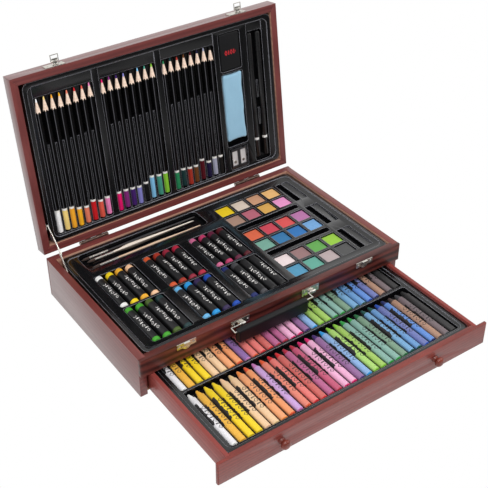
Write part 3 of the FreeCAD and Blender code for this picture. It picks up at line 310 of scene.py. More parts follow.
def speckMaterial(name, colour, scale, amount, rough, bump, distance=0.0003, attribute=None, **surface):
    material, tree, shader = newMaterial(name, **surface)
    source = attributeColour(tree, attribute) if attribute else linear(colour)
    made = useGroup(tree, speckGroup, {"Vector": objectPlace(tree), "Color": source, "Scale": scale,
                                       "Amount": amount, "Rough low": rough[0], "Rough high": rough[1]})
    finishWith(tree, shader, made, bump, distance)
    return material


cakePaint = speckMaterial("cakePaint", "ffffff", 900.0, 0.16, (0.75, 0.95), 0.5, attribute="pieceColour")
gripLeather = speckMaterial("gripLeather", "0c0c0e", 700.0, 0.3, (0.4, 0.55), 0.45,
                            Specular_IOR_Level=0.35)


def metalMaterial(name, colour, smooth, worn, metallic=1.0):
    material, tree, shader = newMaterial(name, Metallic=metallic, Base_Color=linear(colour))
    made = useGroup(tree, scratchGroup, {"Vector": objectPlace(tree), "Smooth": smooth, "Worn": worn})
    finishWith(tree, shader, made, 0.08, 0.0001)
    return material


brightSteel = metalMaterial("brightSteel", "d6d2ca", 0.22, 0.4)
castMetal = metalMaterial("castMetal", "68686c", 0.25, 0.45)
bladeSteel = metalMaterial("bladeSteel", "e4e0e0", 0.3, 0.5, 0.35)
hingeMetal = metalMaterial("hingeMetal", "6e5c54", 0.3, 0.5)


# mesh helpers
def linked(name, data):
    item = bpy.data.objects.new(name, data)
    bpy.context.scene.collection.objects.link(item)
    return item


def meshObject(name, mesh, body, material=None):
    piece = linked(name, mesh)
    if material is not None:
        mesh.materials.clear()
        mesh.materials.append(material)
    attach(piece, body)
    return piece


# the piece that stands for case_left_side is called caseLeftSide
def pieceName(nodeName):
    first, *others = nodeName.split("_")
    return first + "".join(word.capitalize() for word in others)


def standFor(nodeName, mesh, material=None, name=None):
    piece = meshObject(name or pieceName(nodeName), mesh, nodes[nodeName]["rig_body"], material)
    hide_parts(nodeName)
    return piece


# the evaluated object as a mesh of its own; the object itself is removed
def plainMesh(piece):
    evaluated = piece.evaluated_get(bpy.context.evaluated_depsgraph_get())
    mesh = bpy.data.meshes.new_from_object(evaluated)
    bpy.data.objects.remove(piece)
    return mesh


# smooth shading, with edges sharper than the angle kept sharp
def smoothSides(mesh, degrees=40):
    build = bmesh.new()
    build.from_mesh(mesh)
    limit = math.radians(degrees)
    for face in build.faces:
        face.smooth = True
    for edge in build.edges:
        edge.smooth = len(edge.link_faces) == 2 and edge.calc_face_angle(0) < limit
    build.to_mesh(mesh)
    build.free()


# a merged copy of a CAD node with its sharp edges rounded
def edgedCopy(nodeName, width, segments=2, angle=35):
    mesh = nodes[nodeName].data.copy()
    build = bmesh.new()
    build.from_mesh(mesh)
    bmesh.ops.remove_doubles(build, verts=build.verts, dist=weld)
    bmesh.ops.dissolve_limit(build, angle_limit=math.radians(0.5), verts=build.verts, edges=build.edges)
    build.to_mesh(mesh)
    build.free()
    piece = linked(nodeName, mesh)
    bevel = piece.modifiers.new("rounding", "BEVEL")
    bevel.width = width
    bevel.segments = segments
    bevel.limit_method = "ANGLE"
    bevel.angle_limit = math.radians(angle)
    bevel.use_clamp_overlap = True
    made = plainMesh(piece)
    made.name = pieceName(nodeName)
    smoothSides(made)
    return made


# a rounded copy that stands for the CAD node
def dressNode(nodeName, material, width, segments=2, angle=35, name=None):
    return standFor(nodeName, edgedCopy(nodeName, width, segments, angle), material, name)


# lowest and highest corner of a lid node as it lies with the lid shut
def shutBox(nodeName):
    corners = [shutTurn @ vertex.co for vertex in nodes[nodeName].data.vertices]
    low = Vector([min(c[i] for c in corners) for i in range(3)])
    high = Vector([max(c[i] for c in corners) for i in range(3)])
    return low, high


# a closed skin along Y through rows of (along, radii), one radius for each step of the turn; its UV
# is the turn, from below over the -X side, and the share of the length
def lofted(rows, degrees=40):
    build = bmesh.new()
    uvLayer = build.loops.layers.uv.new("UVMap")
    start, end, steps = rows[0][0], rows[-1][0], len(rows[0][1])
    shares = [(along - start) / (end - start) for along, radii in rows]
    turns = [2 * math.pi * i / steps for i in range(steps)]
    rings = [[build.verts.new((-radius * math.sin(turn), along, -radius * math.cos(turn)))
              for radius, turn in zip(radii, turns)] for along, radii in rows]
    for first, second, a, b in zip(rings, rings[1:], shares, shares[1:]):
        for i in range(steps):
            j = (i + 1) % steps
            face = build.faces.new((first[i], first[j], second[j], second[i]))
            for loop, (turn, share) in zip(face.loops, ((i, a), (i + 1, a), (i + 1, b), (i, b))):
                loop[uvLayer].uv = (turn / steps, share)
    for ring, share in ((rings[0][::-1], 0.0), (rings[-1], 1.0)):
        for loop in build.faces.new(ring).loops:
            loop[uvLayer].uv = (0.5, share)
    bmesh.ops.recalc_face_normals(build, faces=build.faces)
    mesh = bpy.data.meshes.new("lofted")
    build.to_mesh(mesh)
    build.free()
    smoothSides(mesh, degrees)
    return mesh


# a body of revolution about Y from (along, radius) pairs
def turned(profile, segments=32):
    return lofted([(along, [radius] * segments) for along, radius in profile])


# one Geometry Nodes tree lays every row of like pieces
def buildRowTree():
    tree = bpy.data.node_groups.new("layRow", "GeometryNodeTree")
    sockets = (("Geometry", "Geometry"), ("Count", "Int"), ("Pitch", "Vector"), ("Slide", "Float"),
               ("Roll", "Float"), ("Sway", "Float"), ("Seed", "Int"), ("Material", "Material"))
    for name, kind in sockets:
        tree.interface.new_socket(name, in_out="INPUT", socket_type="NodeSocket" + kind)
    tree.interface.new_socket("Geometry", in_out="OUTPUT", socket_type="NodeSocketGeometry")
    given = tree.nodes.new("NodeGroupInput").outputs

    def add(kind, inputs=None, **settings):
        return put(tree, kind, inputs, **settings)

    # a random number between minus and plus a limit
    def randomUpTo(limit, seed):
        least = mathNode(tree, "MULTIPLY", limit, -1.0)
        return add("FunctionNodeRandomValue", {2: least, 3: limit, 8: seed}, data_type="FLOAT").outputs[1]

    line = add("GeometryNodeMeshLine", {"Count": given["Count"], "Offset": given["Pitch"]}, mode="OFFSET")
    slid = add("ShaderNodeCombineXYZ", {1: randomUpTo(given["Slide"], given["Seed"])})
    placed = add("GeometryNodeSetPosition", {"Geometry": line.outputs[0], "Offset": slid.outputs[0]})
    nextSeed = mathNode(tree, "ADD", given["Seed"], 7.0)
    turn = add("ShaderNodeCombineXYZ", {1: randomUpTo(given["Roll"], given["Seed"]),
                                        2: randomUpTo(given["Sway"], nextSeed)})
    spread = add("GeometryNodeInstanceOnPoints", {"Points": placed.outputs[0],
                                                  "Instance": given["Geometry"],
                                                  "Rotation": turn.outputs[0]})
    numbered = add("GeometryNodeStoreNamedAttribute",
                   {"Geometry": spread.outputs[0], "Name": "pieceNumber",
                    "Value": add("GeometryNodeInputIndex").outputs[0]},
                   data_type="INT", domain="INSTANCE")
    real = add("GeometryNodeRealizeInstances", {"Geometry": numbered.outputs[0]})
    painted = add("GeometryNodeSetMaterial", {"Geometry": real.outputs[0],
                                              "Material": given["Material"]})
    out = tree.nodes.new("NodeGroupOutput")
    tree.links.new(painted.outputs[0], out.inputs[0])
    return tree


rowTree = buildRowTree()


# many copies of one mesh in a row, as a plain mesh with a pieceNumber on every point
def layRow(base, count, pitch, material, slide=0.0, roll=0.0, sway=0.0, seed=1):
    piece = linked("row", base)
    modifier = piece.modifiers.new("row", "NODES")
    modifier.node_group = rowTree
    values = {"Count": count, "Pitch": pitch, "Slide": slide, "Roll": roll, "Sway": sway, "Seed": seed,
              "Material": material}
    for item in rowTree.interface.items_tree:
        if item.in_out == "INPUT" and item.name in values:
            modifier[item.identifier] = values[item.name]
    mesh = plainMesh(piece)
    if not mesh.materials:
        mesh.materials.append(material)
    return mesh


def numbersOf(mesh):
    return [item.value for item in mesh.attributes["pieceNumber"].data]


# a colour for each piece of a row, from a list with one name for each
def paintPieces(mesh, attribute, palette):
    layer = mesh.color_attributes.new(attribute, "FLOAT_COLOR", "POINT")
    shades = [linear(name) for name in palette]
    for item, number in zip(layer.data, numbersOf(mesh)):
        item.color = shades[number]


# several meshes with the same attributes as one
def joined(meshes):
    build = bmesh.new()
    for mesh in meshes:
        build.from_mesh(mesh)
    whole = meshes[0].copy()
    build.to_mesh(whole)
    build.free()
    return whole


# the box of every solid in a CAD node, ordered along X; back turns the node first
def partBoxes(nodeName, back=None):
    build = bmesh.new()
    build.from_mesh(nodes[nodeName].data)
    if back is not None:
        bmesh.ops.transform(build, matrix=back, verts=build.verts)
    bmesh.ops.remove_doubles(build, verts=build.verts, dist=weld)
    left = set(build.verts)
    found = []
    while left:
        reach = [left.pop()]
        island = []
        while reach:
            vertex = reach.pop()
            island.append(vertex.co.copy())
            for edge in vertex.link_edges:
                other = edge.other_vert(vertex)
                if other in left:
                    left.discard(other)
                    reach.append(other)
        found.append(tuple(Vector([pick(c[i] for c in island) for i in range(3)]) for pick in (min, max)))
    build.free()
    return sorted(found, key=lambda pair: (pair[0].x, pair[0].y))


# radius, length and pitch of a row of round sticks that lie along Y
def rowSpan(low, high, count):
    radius = (high.z - low.z) / 2
    return radius, high.y - low.y, (high.x - low.x - 2 * radius) / (count - 1)


# where a lozenge's line runs and how far a bar reaches, as shares of half a cell
ornament = {"ring": 0.85, "bar wide": 0.34, "bar high": 0.9}


# mask of an ornament chain: hollow lozenges and bars by turns, in millimetres
def chainMask(tree, along, across, start, end, pitch, half, line=0.2):
    cells = mathNode(tree, "DIVIDE", mathNode(tree, "SUBTRACT", along, start), pitch)
    cell = mathNode(tree, "SUBTRACT", mathNode(tree, "FRACT", cells), 0.5)
    wide = mathNode(tree, "MULTIPLY", mathNode(tree, "ABSOLUTE", cell), 2.0)
    high = mathNode(tree, "DIVIDE", mathNode(tree, "ABSOLUTE", across), half)
    spread = mathNode(tree, "ADD", wide, high)
    ring = mathNode(tree, "COMPARE", spread, ornament["ring"], line)
    bar = mathNode(tree, "MULTIPLY", mathNode(tree, "LESS_THAN", wide, ornament["bar wide"]),
                   mathNode(tree, "LESS_THAN", high, ornament["bar high"]))
    odd = mathNode(tree, "MODULO", mathNode(tree, "FLOOR", cells), 2.0)
    shape = put(tree, "ShaderNodeMix", {0: odd, 2: ring, 3: bar}, data_type="FLOAT").outputs[0]
    return mathNode(tree, "MULTIPLY", shape, between(tree, along, start, end))


# millimetres along a turned stick
def alongStick(tree, length):
    return mathNode(tree, "MULTIPLY", uvParts(tree)[1], length / mm)


# millimetres around a stick from its top
def aroundStick(tree, radius):
    return mathNode(tree, "MULTIPLY", mathNode(tree, "SUBTRACT", uvParts(tree)[0], 0.5),
                    2 * math.pi * radius / mm)


# fine speck over a stick's colour, with its roughness offset
def finishStick(tree, shader, colour, rough, bump=0.15):
    made = useGroup(tree, speckGroup, {"Vector": objectPlace(tree), "Color": colour, "Scale": 700.0,
                                       "Amount": 0.12, "Rough low": rough, "Rough high": rough + 0.15})
    finishWith(tree, shader, made, bump, 0.0002)


print("helpers ready")

# camera
view = {"place": (-0.5732, -0.8515, 0.8106), "azimuth": -32.601, "elevation": 34.550, "roll": -1.621,
        "focal": 989.4, "centre": (204.1, 221.8), "picture": 488.0}
azimuth, elevation, roll = [math.radians(view[key]) for key in ("azimuth", "elevation", "roll")]
backward = Vector((math.sin(azimuth) * math.cos(elevation), -math.cos(azimuth) * math.cos(elevation),
                   math.sin(elevation)))
levelRight = (-backward).cross(Vector((0, 0, 1))).normalized()
levelUp = levelRight.cross(-backward)
rightward = math.cos(roll) * levelRight + math.sin(roll) * levelUp
upward = math.cos(roll) * levelUp - math.sin(roll) * levelRight
cameraData = bpy.data.cameras.new("camera")
camera = linked("camera", cameraData)
camera.matrix_world = (Matrix.Translation(view["place"])
                       @ Matrix((rightward, upward, backward)).transposed().to_4x4())
cameraData.sensor_width = 36.0
cameraData.lens = view["focal"] * cameraData.sensor_width / view["picture"]
cameraData.shift_x = 0.5 - view["centre"][0] / view["picture"]
cameraData.shift_y = view["centre"][1] / view["picture"] - 0.5
cameraData.clip_start = 0.05
cameraData.clip_end = 50.0
bpy.context.scene.camera = camera
print("camera placed")


# boards
# for each board its wood, and that of its inner and outer faces
boards = {
    "case_left_side": ("stainedY", "bare", "polishedY"),
    "case_right_side": ("stainedY", "bare", "polishedY"),
    "case_back": ("stainedX", "bare", "polishedX"),
    "front_rail": ("railX", "bare", "railX"),
    "lid_front_rail": ("stainedX", "bare", "polishedX"),
    "lid_back_rail": ("stainedX", "bare", "polishedX"),
    "lid_left_rail": ("stainedZ", "bare", "polishedZ"),
    "lid_right_rail": ("stainedZ", "bare", "polishedZ"),
    "lid_panel": ("stainedX", "stainedX", "polishedX"),
    "drawer_front": ("frontX", "frontX", "polishedFront"),
}
boardRounding = 0.0007
plyRounding = 0.0004


# the faces towards the middle of the case get one wood, the faces away from it another
def dressFaces(piece, nodeName, inside, outside):
    for look in (inside, outside):
        piece.data.materials.append(wood[look])
    inLid = nodeName.startswith("lid_")
    turn = shutTurn.to_3x3() if inLid else Matrix.Identity(3)
    low, high = shutBox(nodeName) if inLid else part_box(nodeName)
    middle = (low + high) / 2
    for polygon in piece.data.polygons:
        normal = turn @ polygon.normal
        away = normal.x * middle.x + normal.y * middle.y
        if max(abs(normal.x), abs(normal.y)) > 0.95 and abs(away) > 0.02:
            polygon.material_index = 2 if away > 0 else 1


for nodeName, (look, inside, outside) in boards.items():
    piece = dressNode(nodeName, wood[look], boardRounding, 3)
    dressFaces(piece, nodeName, inside, outside)

for nodeName in ("case_bottom", "case_shelf", "drawer_back", "drawer_bottom"):
    dressNode(nodeName, wood["ply"], plyRounding)
for nodeName in ("drawer_left_side", "drawer_right_side"):
    dressNode(nodeName, wood["drawerY"], plyRounding)
print("boards made")


# trays
# the light grey and the turn range after the black plastic make the painted highlight on the upper edges
trayFinish = {"rounding": 0.0004, "edge": 0.0010, "gleam": (0.0022, 0.0050), "speck": 60.0,
              "plastic": "0b0b0d", "highlight plastic": "94949c", "gloss depth": (0.0030, 0.0065),
              "highlight turn": (0.995, 0.92), "rough": {"Rough low": 0.14, "Rough high": 0.24}}


# thin black plastic, formed hot, with a painted highlight: its upper edges are mixed towards light grey where
# they would catch the light; lower down its coat thins out, so the pockets reflect less
def trayMaterial():
    material, tree, shader = newMaterial("trayPlastic", Specular_IOR_Level=0.18, Coat_IOR=1.42,
                                         Coat_Roughness=0.18)
    soft = put(tree, "ShaderNodeBevel", {"Radius": trayFinish["edge"]}, samples=6).outputs[0]
    flat = put(tree, "ShaderNodeNewGeometry").outputs["Normal"]
    turn = put(tree, "ShaderNodeVectorMath", {0: soft, 1: flat}, operation="DOT_PRODUCT").outputs["Value"]
    depth = attributeValue(tree, "lipDepth")
    upper = ranged(tree, depth, *trayFinish["gleam"], 1.0, 0.03)
    # painted highlight: near the top, where the bevel normal turns away from the flat one, the black is mixed
    # towards light grey
    edge = mathNode(tree, "MULTIPLY", ranged(tree, turn, *trayFinish["highlight turn"]), upper)
    colour = mixColour(tree, edge, linear(trayFinish["plastic"]), linear(trayFinish["highlight plastic"]))
    made = useGroup(tree, speckGroup, {
        "Vector": objectPlace(tree), "Color": colour, "Scale": trayFinish["speck"], "Amount": 0.25,
        **trayFinish["rough"]})
    tree.links.new(ranged(tree, depth, *trayFinish["gloss depth"], 1.0, 0.1), shader.inputs["Coat Weight"])
    normal = put(tree, "ShaderNodeMix", {0: upper, 4: flat, 5: soft}, data_type="VECTOR").outputs[1]
    finishWith(tree, shader, made, 0.03, 0.0003, Normal=normal)
    return material


def makeTrays():
    material = trayMaterial()
    for nodeName, level, facing in (("upper_tray", Matrix(), 1), ("lid_tray", shutTurn, -1),
                                    ("drawer_tray", Matrix(), 1)):
        piece = dressNode(nodeName, material, trayFinish["rounding"], angle=25)
        heights = [facing * (level @ vertex.co).z for vertex in piece.data.vertices]
        top = max(heights)
        depths = piece.data.attributes.new("lipDepth", "FLOAT", "POINT").data
        for item, height in zip(depths, heights):
            item.value = top - height


makeTrays()
print("trays made")


# crayons
crayon = {
    "count": 30, "tip": 0.0095, "tipRadius": 0.0015, "shoulder": 0.0008, "patch": (0.33, 0.72),
    "butt": 0.0012, "loose": {"slide": 0.0006, "roll": 0.25, "sway": 0.004},
    # the printed patch, in millimetres: how its edge wanders, and how far it shifts from stick to stick
    "ragged": 5.0, "drop": -3.6, "edge": -4.9, "shift": 9.0, "patch ends": (4, 6),
    "chain": {"pitch": 5.6, "half": 3.0, "line": 0.19}, "chain ends": (-5, -1), "chain side": 0.8,
    # painted shade: how far round from the top each crayon starts and stops darkening, and how dark its sides
    # and underside get
    "flank": (0.17, 0.27), "flank shade": 0.85, "ink": 0.88, "wander": (0.22, 3.7), "lot": 0.618,
    "front row": ["whiteWax", "goldenWax", "yellow", "yellow", "peachWax", "peachWax", "apricotWax",
                  "orangeWax", "lilac", "salmonWax", "coralWax", "dustyRed", "mauvePink", "crimsonRose",
                  "pinkWax", "pinkWax", "plumWax", "paleBlueWax", "leafWax", "limeWax", "tealWax",
                  "tealWax", "mossWax", "skyWax", "steelWax", "violetBlue", "blueWax", "tanWax",
                  "brownGrey", "coalWax"],
    "back row": ["whiteWax", "goldenWax", "yellow", "yellow", "peachWax", "peachWax", "apricotWax",
                 "orangeWax", "violetWax", "coralWax", "coralWax", "dustyRed", "mauvePink", "mauvePink",
                 "pinkWax", "pinkWax", "plumWax", "paleBlueWax", "limeWax", "limeWax", "tealWax",
                 "tealWax", "mossWax", "skyWax", "steelWax", "blueWax", "violetBlue", "tanWax",
                 "brownGrey", "coalWax"],
    "tips": ["white", "golden", "yellow", "yellow", "peach", "sand", "orange", "vermilion", "orchid",
             "vermilion", "red", "red", "crimson", "crimson", "hotPink", "hotPink", "violet", "azure",
             "limeGreen", "limeGreen", "green", "green", "darkGreen", "darkTeal", "darkTeal",
             "royalBlue", "navy", "cocoaWax", "darkGrey", "black"],
}


def crayonMaterial(length, radius):
    material, tree, shader = newMaterial("crayonWax", Sheen_Weight=0.1)
    along, across = alongStick(tree, length), aroundStick(tree, radius)
    number = attributeValue(tree, "pieceNumber")
    wavePace, waveStep = crayon["wander"]
    wander = put(tree, "ShaderNodeCombineXYZ", {0: mathNode(tree, "MULTIPLY", along, wavePace),
                                                1: mathNode(tree, "MULTIPLY", number, waveStep)})
    wave = put(tree, "ShaderNodeTexNoise", {"Vector": wander.outputs[0], "Scale": 1.0,
                                            "Detail": 2.0}).outputs[0]
    lot = mathNode(tree, "FRACT", mathNode(tree, "MULTIPLY", number, crayon["lot"]))
    edge = mathNode(tree, "MULTIPLY_ADD", wave, crayon["ragged"],
                    mathNode(tree, "MULTIPLY_ADD", lot, crayon["drop"], crayon["edge"]))
    shifted = mathNode(tree, "ADD", along, mathNode(tree, "MULTIPLY", lot, crayon["shift"]))
    first, last = [share * length / mm for share in crayon["patch"]]
    early, late = crayon["patch ends"]
    patch = mathNode(tree, "MULTIPLY", mathNode(tree, "LESS_THAN", across, edge),
                     between(tree, shifted, first + early, last + late))
    early, late = crayon["chain ends"]
    chain = chainMask(tree, along, mathNode(tree, "SUBTRACT", across, crayon["chain side"]),
                      first + early, last + late, **crayon["chain"])
    printed = mathNode(tree, "MAXIMUM", patch, mathNode(tree, "MULTIPLY", chain, crayon["ink"]))
    wrapper = mixColour(tree, printed, attributeColour(tree, "pieceColour"), linear("1d1a1c"))
    middle = (length - crayon["tip"] + crayon["butt"]) / 2 / mm
    fromMiddle = mathNode(tree, "ABSOLUTE", mathNode(tree, "SUBTRACT", along, middle))
    bare = mathNode(tree, "GREATER_THAN", fromMiddle, middle - crayon["butt"] / mm)
    stick = mixColour(tree, bare, wrapper, attributeColour(tree, "tipColour"))
    # painted shade: away from the top, the sides and underside of each crayon are mixed towards near black
    # (161113), as if the sticks shaded each other
    around = mathNode(tree, "DIVIDE", mathNode(tree, "ABSOLUTE", across), 2 * math.pi * radius / mm)
    flank = ranged(tree, around, *crayon["flank"], 0.0, crayon["flank shade"])
    finishStick(tree, shader, mixColour(tree, flank, stick, linear("161113")), 0.42)
    return material


def makeCrayons():
    for nodeName, palette, seed in (("crayons_front_row", crayon["front row"], 3),
                                    ("crayons_back_row", crayon["back row"], 9)):
        low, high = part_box(nodeName)
        radius, length, pitch = rowSpan(low, high, crayon["count"])
        shoulder = length - crayon["tip"]
        waxRadius = radius - crayon["shoulder"]
        tip = crayon["tipRadius"]
        base = turned([(0, radius * 0.8), (0.0004, radius * 0.95), (0.0009, radius),
                       (shoulder - 0.0003, radius), (shoulder, radius - 0.0002),
                       (shoulder + 0.0001, waxRadius), (shoulder + 0.002, waxRadius * 0.9),
                       (length - 0.001, tip * 1.15), (length - 0.0003, tip * 0.9), (length, tip * 0.5)])
        material = bpy.data.materials.get("crayonWax") or crayonMaterial(length, radius)
        mesh = layRow(base, crayon["count"], (pitch, 0, 0), material, seed=seed, **crayon["loose"])
        mesh.transform(Matrix.Translation((low.x + radius, low.y, low.z + radius)))
        paintPieces(mesh, "pieceColour", palette)
        paintPieces(mesh, "tipColour", crayon["tips"])
        standFor(nodeName, mesh)


makeCrayons()
print("crayons made")


# pastels
pastel = {
    "groups": 3, "per group": 4, "sleeve": (0.0048, 0.0615), "step": 0.00025,
    "loose": {"slide": 0.0006, "roll": 0.5, "sway": 0.01},
    "chain": {"pitch": 5.0, "half": 2.2, "line": 0.16}, "chain margin": 12, "chain side": -1.6,
    "wave": 0.35,
    # along from either end, and the share of the stick's radius there
    "ends": ((0, 0.82), (0.0005, 0.96), (0.0012, 1)),
    "back row": [["white", "yellow", "golden", "peach"], ["rustRed", "brick", "wineRed", "crimson"],
                 ["roseWax", "deepRose", "darkWine", "maroon"]],
    "front row": [["leafGreen", "leafGreen", "mossGreen", "deepTeal"],
                  ["skyBlue", "azure", "deepViolet", "royalBlue"],
                  ["navy", "darkGrey", "black", "black"]],
}


def pastelMaterial(length, radius):
    material, tree, shader = newMaterial("pastelWax", Specular_IOR_Level=0.4)
    along, across = alongStick(tree, length), aroundStick(tree, radius)
    first, last = [share / mm for share in pastel["sleeve"]]
    number = attributeValue(tree, "pieceNumber")
    sway = mathNode(tree, "SINE", mathNode(tree, "MULTIPLY_ADD", along, pastel["wave"], number))
    middle = mathNode(tree, "ADD", sway, pastel["chain side"])
    margin = pastel["chain margin"]
    chain = chainMask(tree, along, mathNode(tree, "SUBTRACT", across, middle), first + margin,
                      last - margin, **pastel["chain"])
    sleeve = between(tree, along, first, last)
    dark = mixColour(tree, chain, linear("18181a"), linear("ece9e6"))
    finishStick(tree, shader, mixColour(tree, sleeve, attributeColour(tree, "pieceColour"), dark), 0.35)
    return material


def makePastels():
    perGroup = pastel["per group"]
    for nodeName, palette in (("pastels_front_row", pastel["front row"]),
                              ("pastels_back_row", pastel["back row"])):
        sticks = partBoxes(nodeName)
        first, last = pastel["sleeve"]
        meshes = []
        for group in range(pastel["groups"]):
            low, high = sticks[group * perGroup][0], sticks[group * perGroup + perGroup - 1][1]
            radius, length, pitch = rowSpan(low, high, perGroup)
            thin = radius - pastel["step"]
            near = [(along, thin * share) for along, share in pastel["ends"]]
            far = [(length - along, radiusThere) for along, radiusThere in reversed(near)]
            base = turned(near + [(first - 0.0001, thin), (first, radius), (last, radius),
                                  (last + 0.0001, thin)] + far)
            material = bpy.data.materials.get("pastelWax") or pastelMaterial(length, radius)
            mesh = layRow(base, perGroup, (pitch, 0, 0), material, seed=group + 4, **pastel["loose"])
            mesh.transform(Matrix.Translation((low.x + radius, low.y, low.z + radius)))
            paintPieces(mesh, "pieceColour", palette[group])
            meshes.append(mesh)
        standFor(nodeName, joined(meshes))


makePastels()
print("pastels made")


# paint cakes
# the near and the far row of each set
cakes = {
    "paint_cakes_back": (["taupePaint", "oldRosePaint", "ochrePaint", "pinkPaint"],
                         ["lemonPaint", "shellPaint", "clayPaint", "sandPaint"]),
    "paint_cakes_middle": (["sagePaint", "cobaltPaint", "bluePaint", "skyPaint"],
                           ["orangePaint", "carminePaint", "coralPaint", "orchidPaint"]),
    "paint_cakes_front": (["ceruleanPaint", "jadePaint", "silverPaint", "slatePaint"],
                          ["chalkPaint", "umberPaint", "leafPaint", "limePaint"]),
}


cakeRounding = 0.0008


def cakeBase(size):
    build = bmesh.new()
    bmesh.ops.create_cube(build, size=1.0)
    bmesh.ops.scale(build, vec=size, verts=build.verts)
    bmesh.ops.bevel(build, geom=build.edges[:], offset=cakeRounding, segments=3, affect="EDGES",
                    profile=0.5)
    mesh = bpy.data.meshes.new("cake")
    build.to_mesh(mesh)
    build.free()
    smoothSides(mesh)
    return mesh


def makeCakes():
    for nodeName, (nearRow, farRow) in cakes.items():
        blocks = sorted(partBoxes(nodeName), key=lambda pair: (round(pair[0].y, 3), pair[0].x))
        size = blocks[0][1] - blocks[0][0]
        columns = len(nearRow)
        pitch = blocks[1][0].x - blocks[0][0].x
        meshes = []
        for palette, start in ((nearRow, blocks[0]), (farRow, blocks[columns])):
            mesh = layRow(cakeBase(size), columns, (pitch, 0, 0), cakePaint, sway=0.01)
            mesh.transform(Matrix.Translation((start[0] + start[1]) / 2))
            paintPieces(mesh, "pieceColour", palette)
            meshes.append(mesh)
        standFor(nodeName, joined(meshes))


makeCakes()
print("cakes made")


# coloured pencils
pencil = {
    "count": 8, "cone": 0.0165, "corner": 0.96, "lead": 0.0042, "leadRadius": 0.0006, "band": 3.0,
    # how many painted highlight lines run round each pencil, and where on a turn and how wide they lie
    "end round": 0.0012, "end shrink": 0.22, "streaks": 3.0, "paintedHighlight": (0.25, 0.045),
    "loose": {"slide": 0.0009, "sway": 0.004},
    "caps": {"pencils_left": (32, 31, 31, 27, 25, 30, 26, 26.5),
             "pencils_middle": (28, 27, 27, 26.5, 27, 33, 31, 31.5),
             "pencils_right": (28, 27, 26.7, 26, 31, 25, 27.5, 28)},
    "pencils_left": ["whiteCap", "creamCap", "amberCap", "goldenCap", "salmon", "red", "coral", "pinkCap"],
    "pencils_middle": ["pinkRedCap", "plumCap", "violet", "lilacCap", "black", "skyCap", "tealCap",
                       "limeGreen"],
    "pencils_right": ["forestCap", "deepTeal", "brickCap", "brown", "maroon", "nightCap", "greyLavender",
                      "black"],
}


# a sharpened hexagonal pencil along Y with its point at 0; bareWood marks the cut wood
def hexStick(length, flat, steps=36):
    slope = (flat - pencil["leadRadius"]) / pencil["cone"]
    corner = flat / math.cos(math.radians(30)) * pencil["corner"]
    reach = (corner - pencil["leadRadius"]) / slope + 0.0001
    cone, lead, endRound = pencil["cone"], pencil["lead"], pencil["end round"]
    stations = [0.0, 0.0006, lead, lead + 0.00005, cone * 0.55, cone * 0.8]
    stations += [cone * 0.9 + (reach - cone * 0.9) * i / 10 for i in range(11)]
    stations += [reach + 0.0003, length * 0.5, length - endRound, length - 0.0004, length]
    sides = [(2 * math.pi * i / steps + math.pi / 6) % (math.pi / 3) - math.pi / 6 for i in range(steps)]
    rows, bare = [], []
    for along in stations:
        coneRadius = pencil["leadRadius"] + along * slope
        shrink = 1.0 - pencil["end shrink"] * max(0.0, (along - length + endRound) / endRound) ** 2
        hexRadii = [min(flat / math.cos(side), corner) * shrink for side in sides]
        rows.append((along, [min(radius, coneRadius) for radius in hexRadii]))
        bare += [float(coneRadius < radius) for radius in hexRadii]
    mesh = lofted(rows, 24)
    for item, value in zip(mesh.attributes.new("bareWood", "FLOAT", "POINT").data, bare):
        item.value = value
    return mesh


def pencilMaterial(length):
    material, tree, shader = newMaterial("pencilLacquer", Specular_IOR_Level=0.15)
    along = alongStick(tree, length)
    bare = mathNode(tree, "GREATER_THAN", attributeValue(tree, "bareWood"), 0.5)
    grain = useGroup(tree, grainGroup, {"Vector": objectPlace(tree, (300, 300, 60)),
                                        "Light": linear("f3dccb"), "Dark": linear("d9b79c"),
                                        "Figure": 0.4, "Pores": 0.15})
    capStart = attributeValue(tree, "capStart")
    own = attributeColour(tree, "pieceColour")
    # painted highlights: light grey lines along the flats of the black lacquer
    turn = mathNode(tree, "FRACT", mathNode(tree, "MULTIPLY", uvParts(tree)[0], pencil["streaks"]))
    paintedHighlight = mathNode(tree, "COMPARE", turn, *pencil["paintedHighlight"])
    black = mixColour(tree, paintedHighlight, linear("050506"), linear("5a5a60"))
    body = mixColour(tree, mathNode(tree, "GREATER_THAN", along, capStart), black, linear("f2f0ec"))
    bandEnd = mathNode(tree, "ADD", capStart, pencil["band"])
    body = mixColour(tree, mathNode(tree, "GREATER_THAN", along, bandEnd), body, own)
    cut = mixColour(tree, mathNode(tree, "LESS_THAN", along, pencil["lead"] / mm), grain["Color"], own)
    finishStick(tree, shader, mixColour(tree, bare, body, cut), 0.25, 0.1)
    return material


def makePencils():
    for nodeName, seed in (("pencils_left", 11), ("pencils_middle", 13), ("pencils_right", 12)):
        low, high = shutBox(nodeName)
        length, flat = high.y - low.y, (high.z - low.z) / 2
        sticks = partBoxes(nodeName, shutTurn)
        pitch = (sticks[-1][0].x - sticks[0][0].x) / (pencil["count"] - 1)
        halfWide = (sticks[0][1].x - sticks[0][0].x) / 2
        material = bpy.data.materials.get("pencilLacquer") or pencilMaterial(length)
        base = hexStick(length, min(flat, halfWide))
        mesh = layRow(base, pencil["count"], (pitch, 0, 0), material, seed=seed, **pencil["loose"])
        mesh.transform(Matrix.Translation((sticks[0][0].x + halfWide, low.y, (low.z + high.z) / 2)))
        mesh.transform(lidTurn)
        paintPieces(mesh, "pieceColour", pencil[nodeName])
        starts = mesh.attributes.new("capStart", "FLOAT", "POINT").data
        for item, number in zip(starts, numbersOf(mesh)):
            item.value = length / mm - pencil["caps"][nodeName][number]
        standFor(nodeName, mesh)


makePencils()
print("pencils made")


# drawing pencils
drawing = {"band": (0.1525, 0.156), "end": 0.0025, "sticks": 2, "loose": {"slide": 0.0006, "sway": 0.003}}


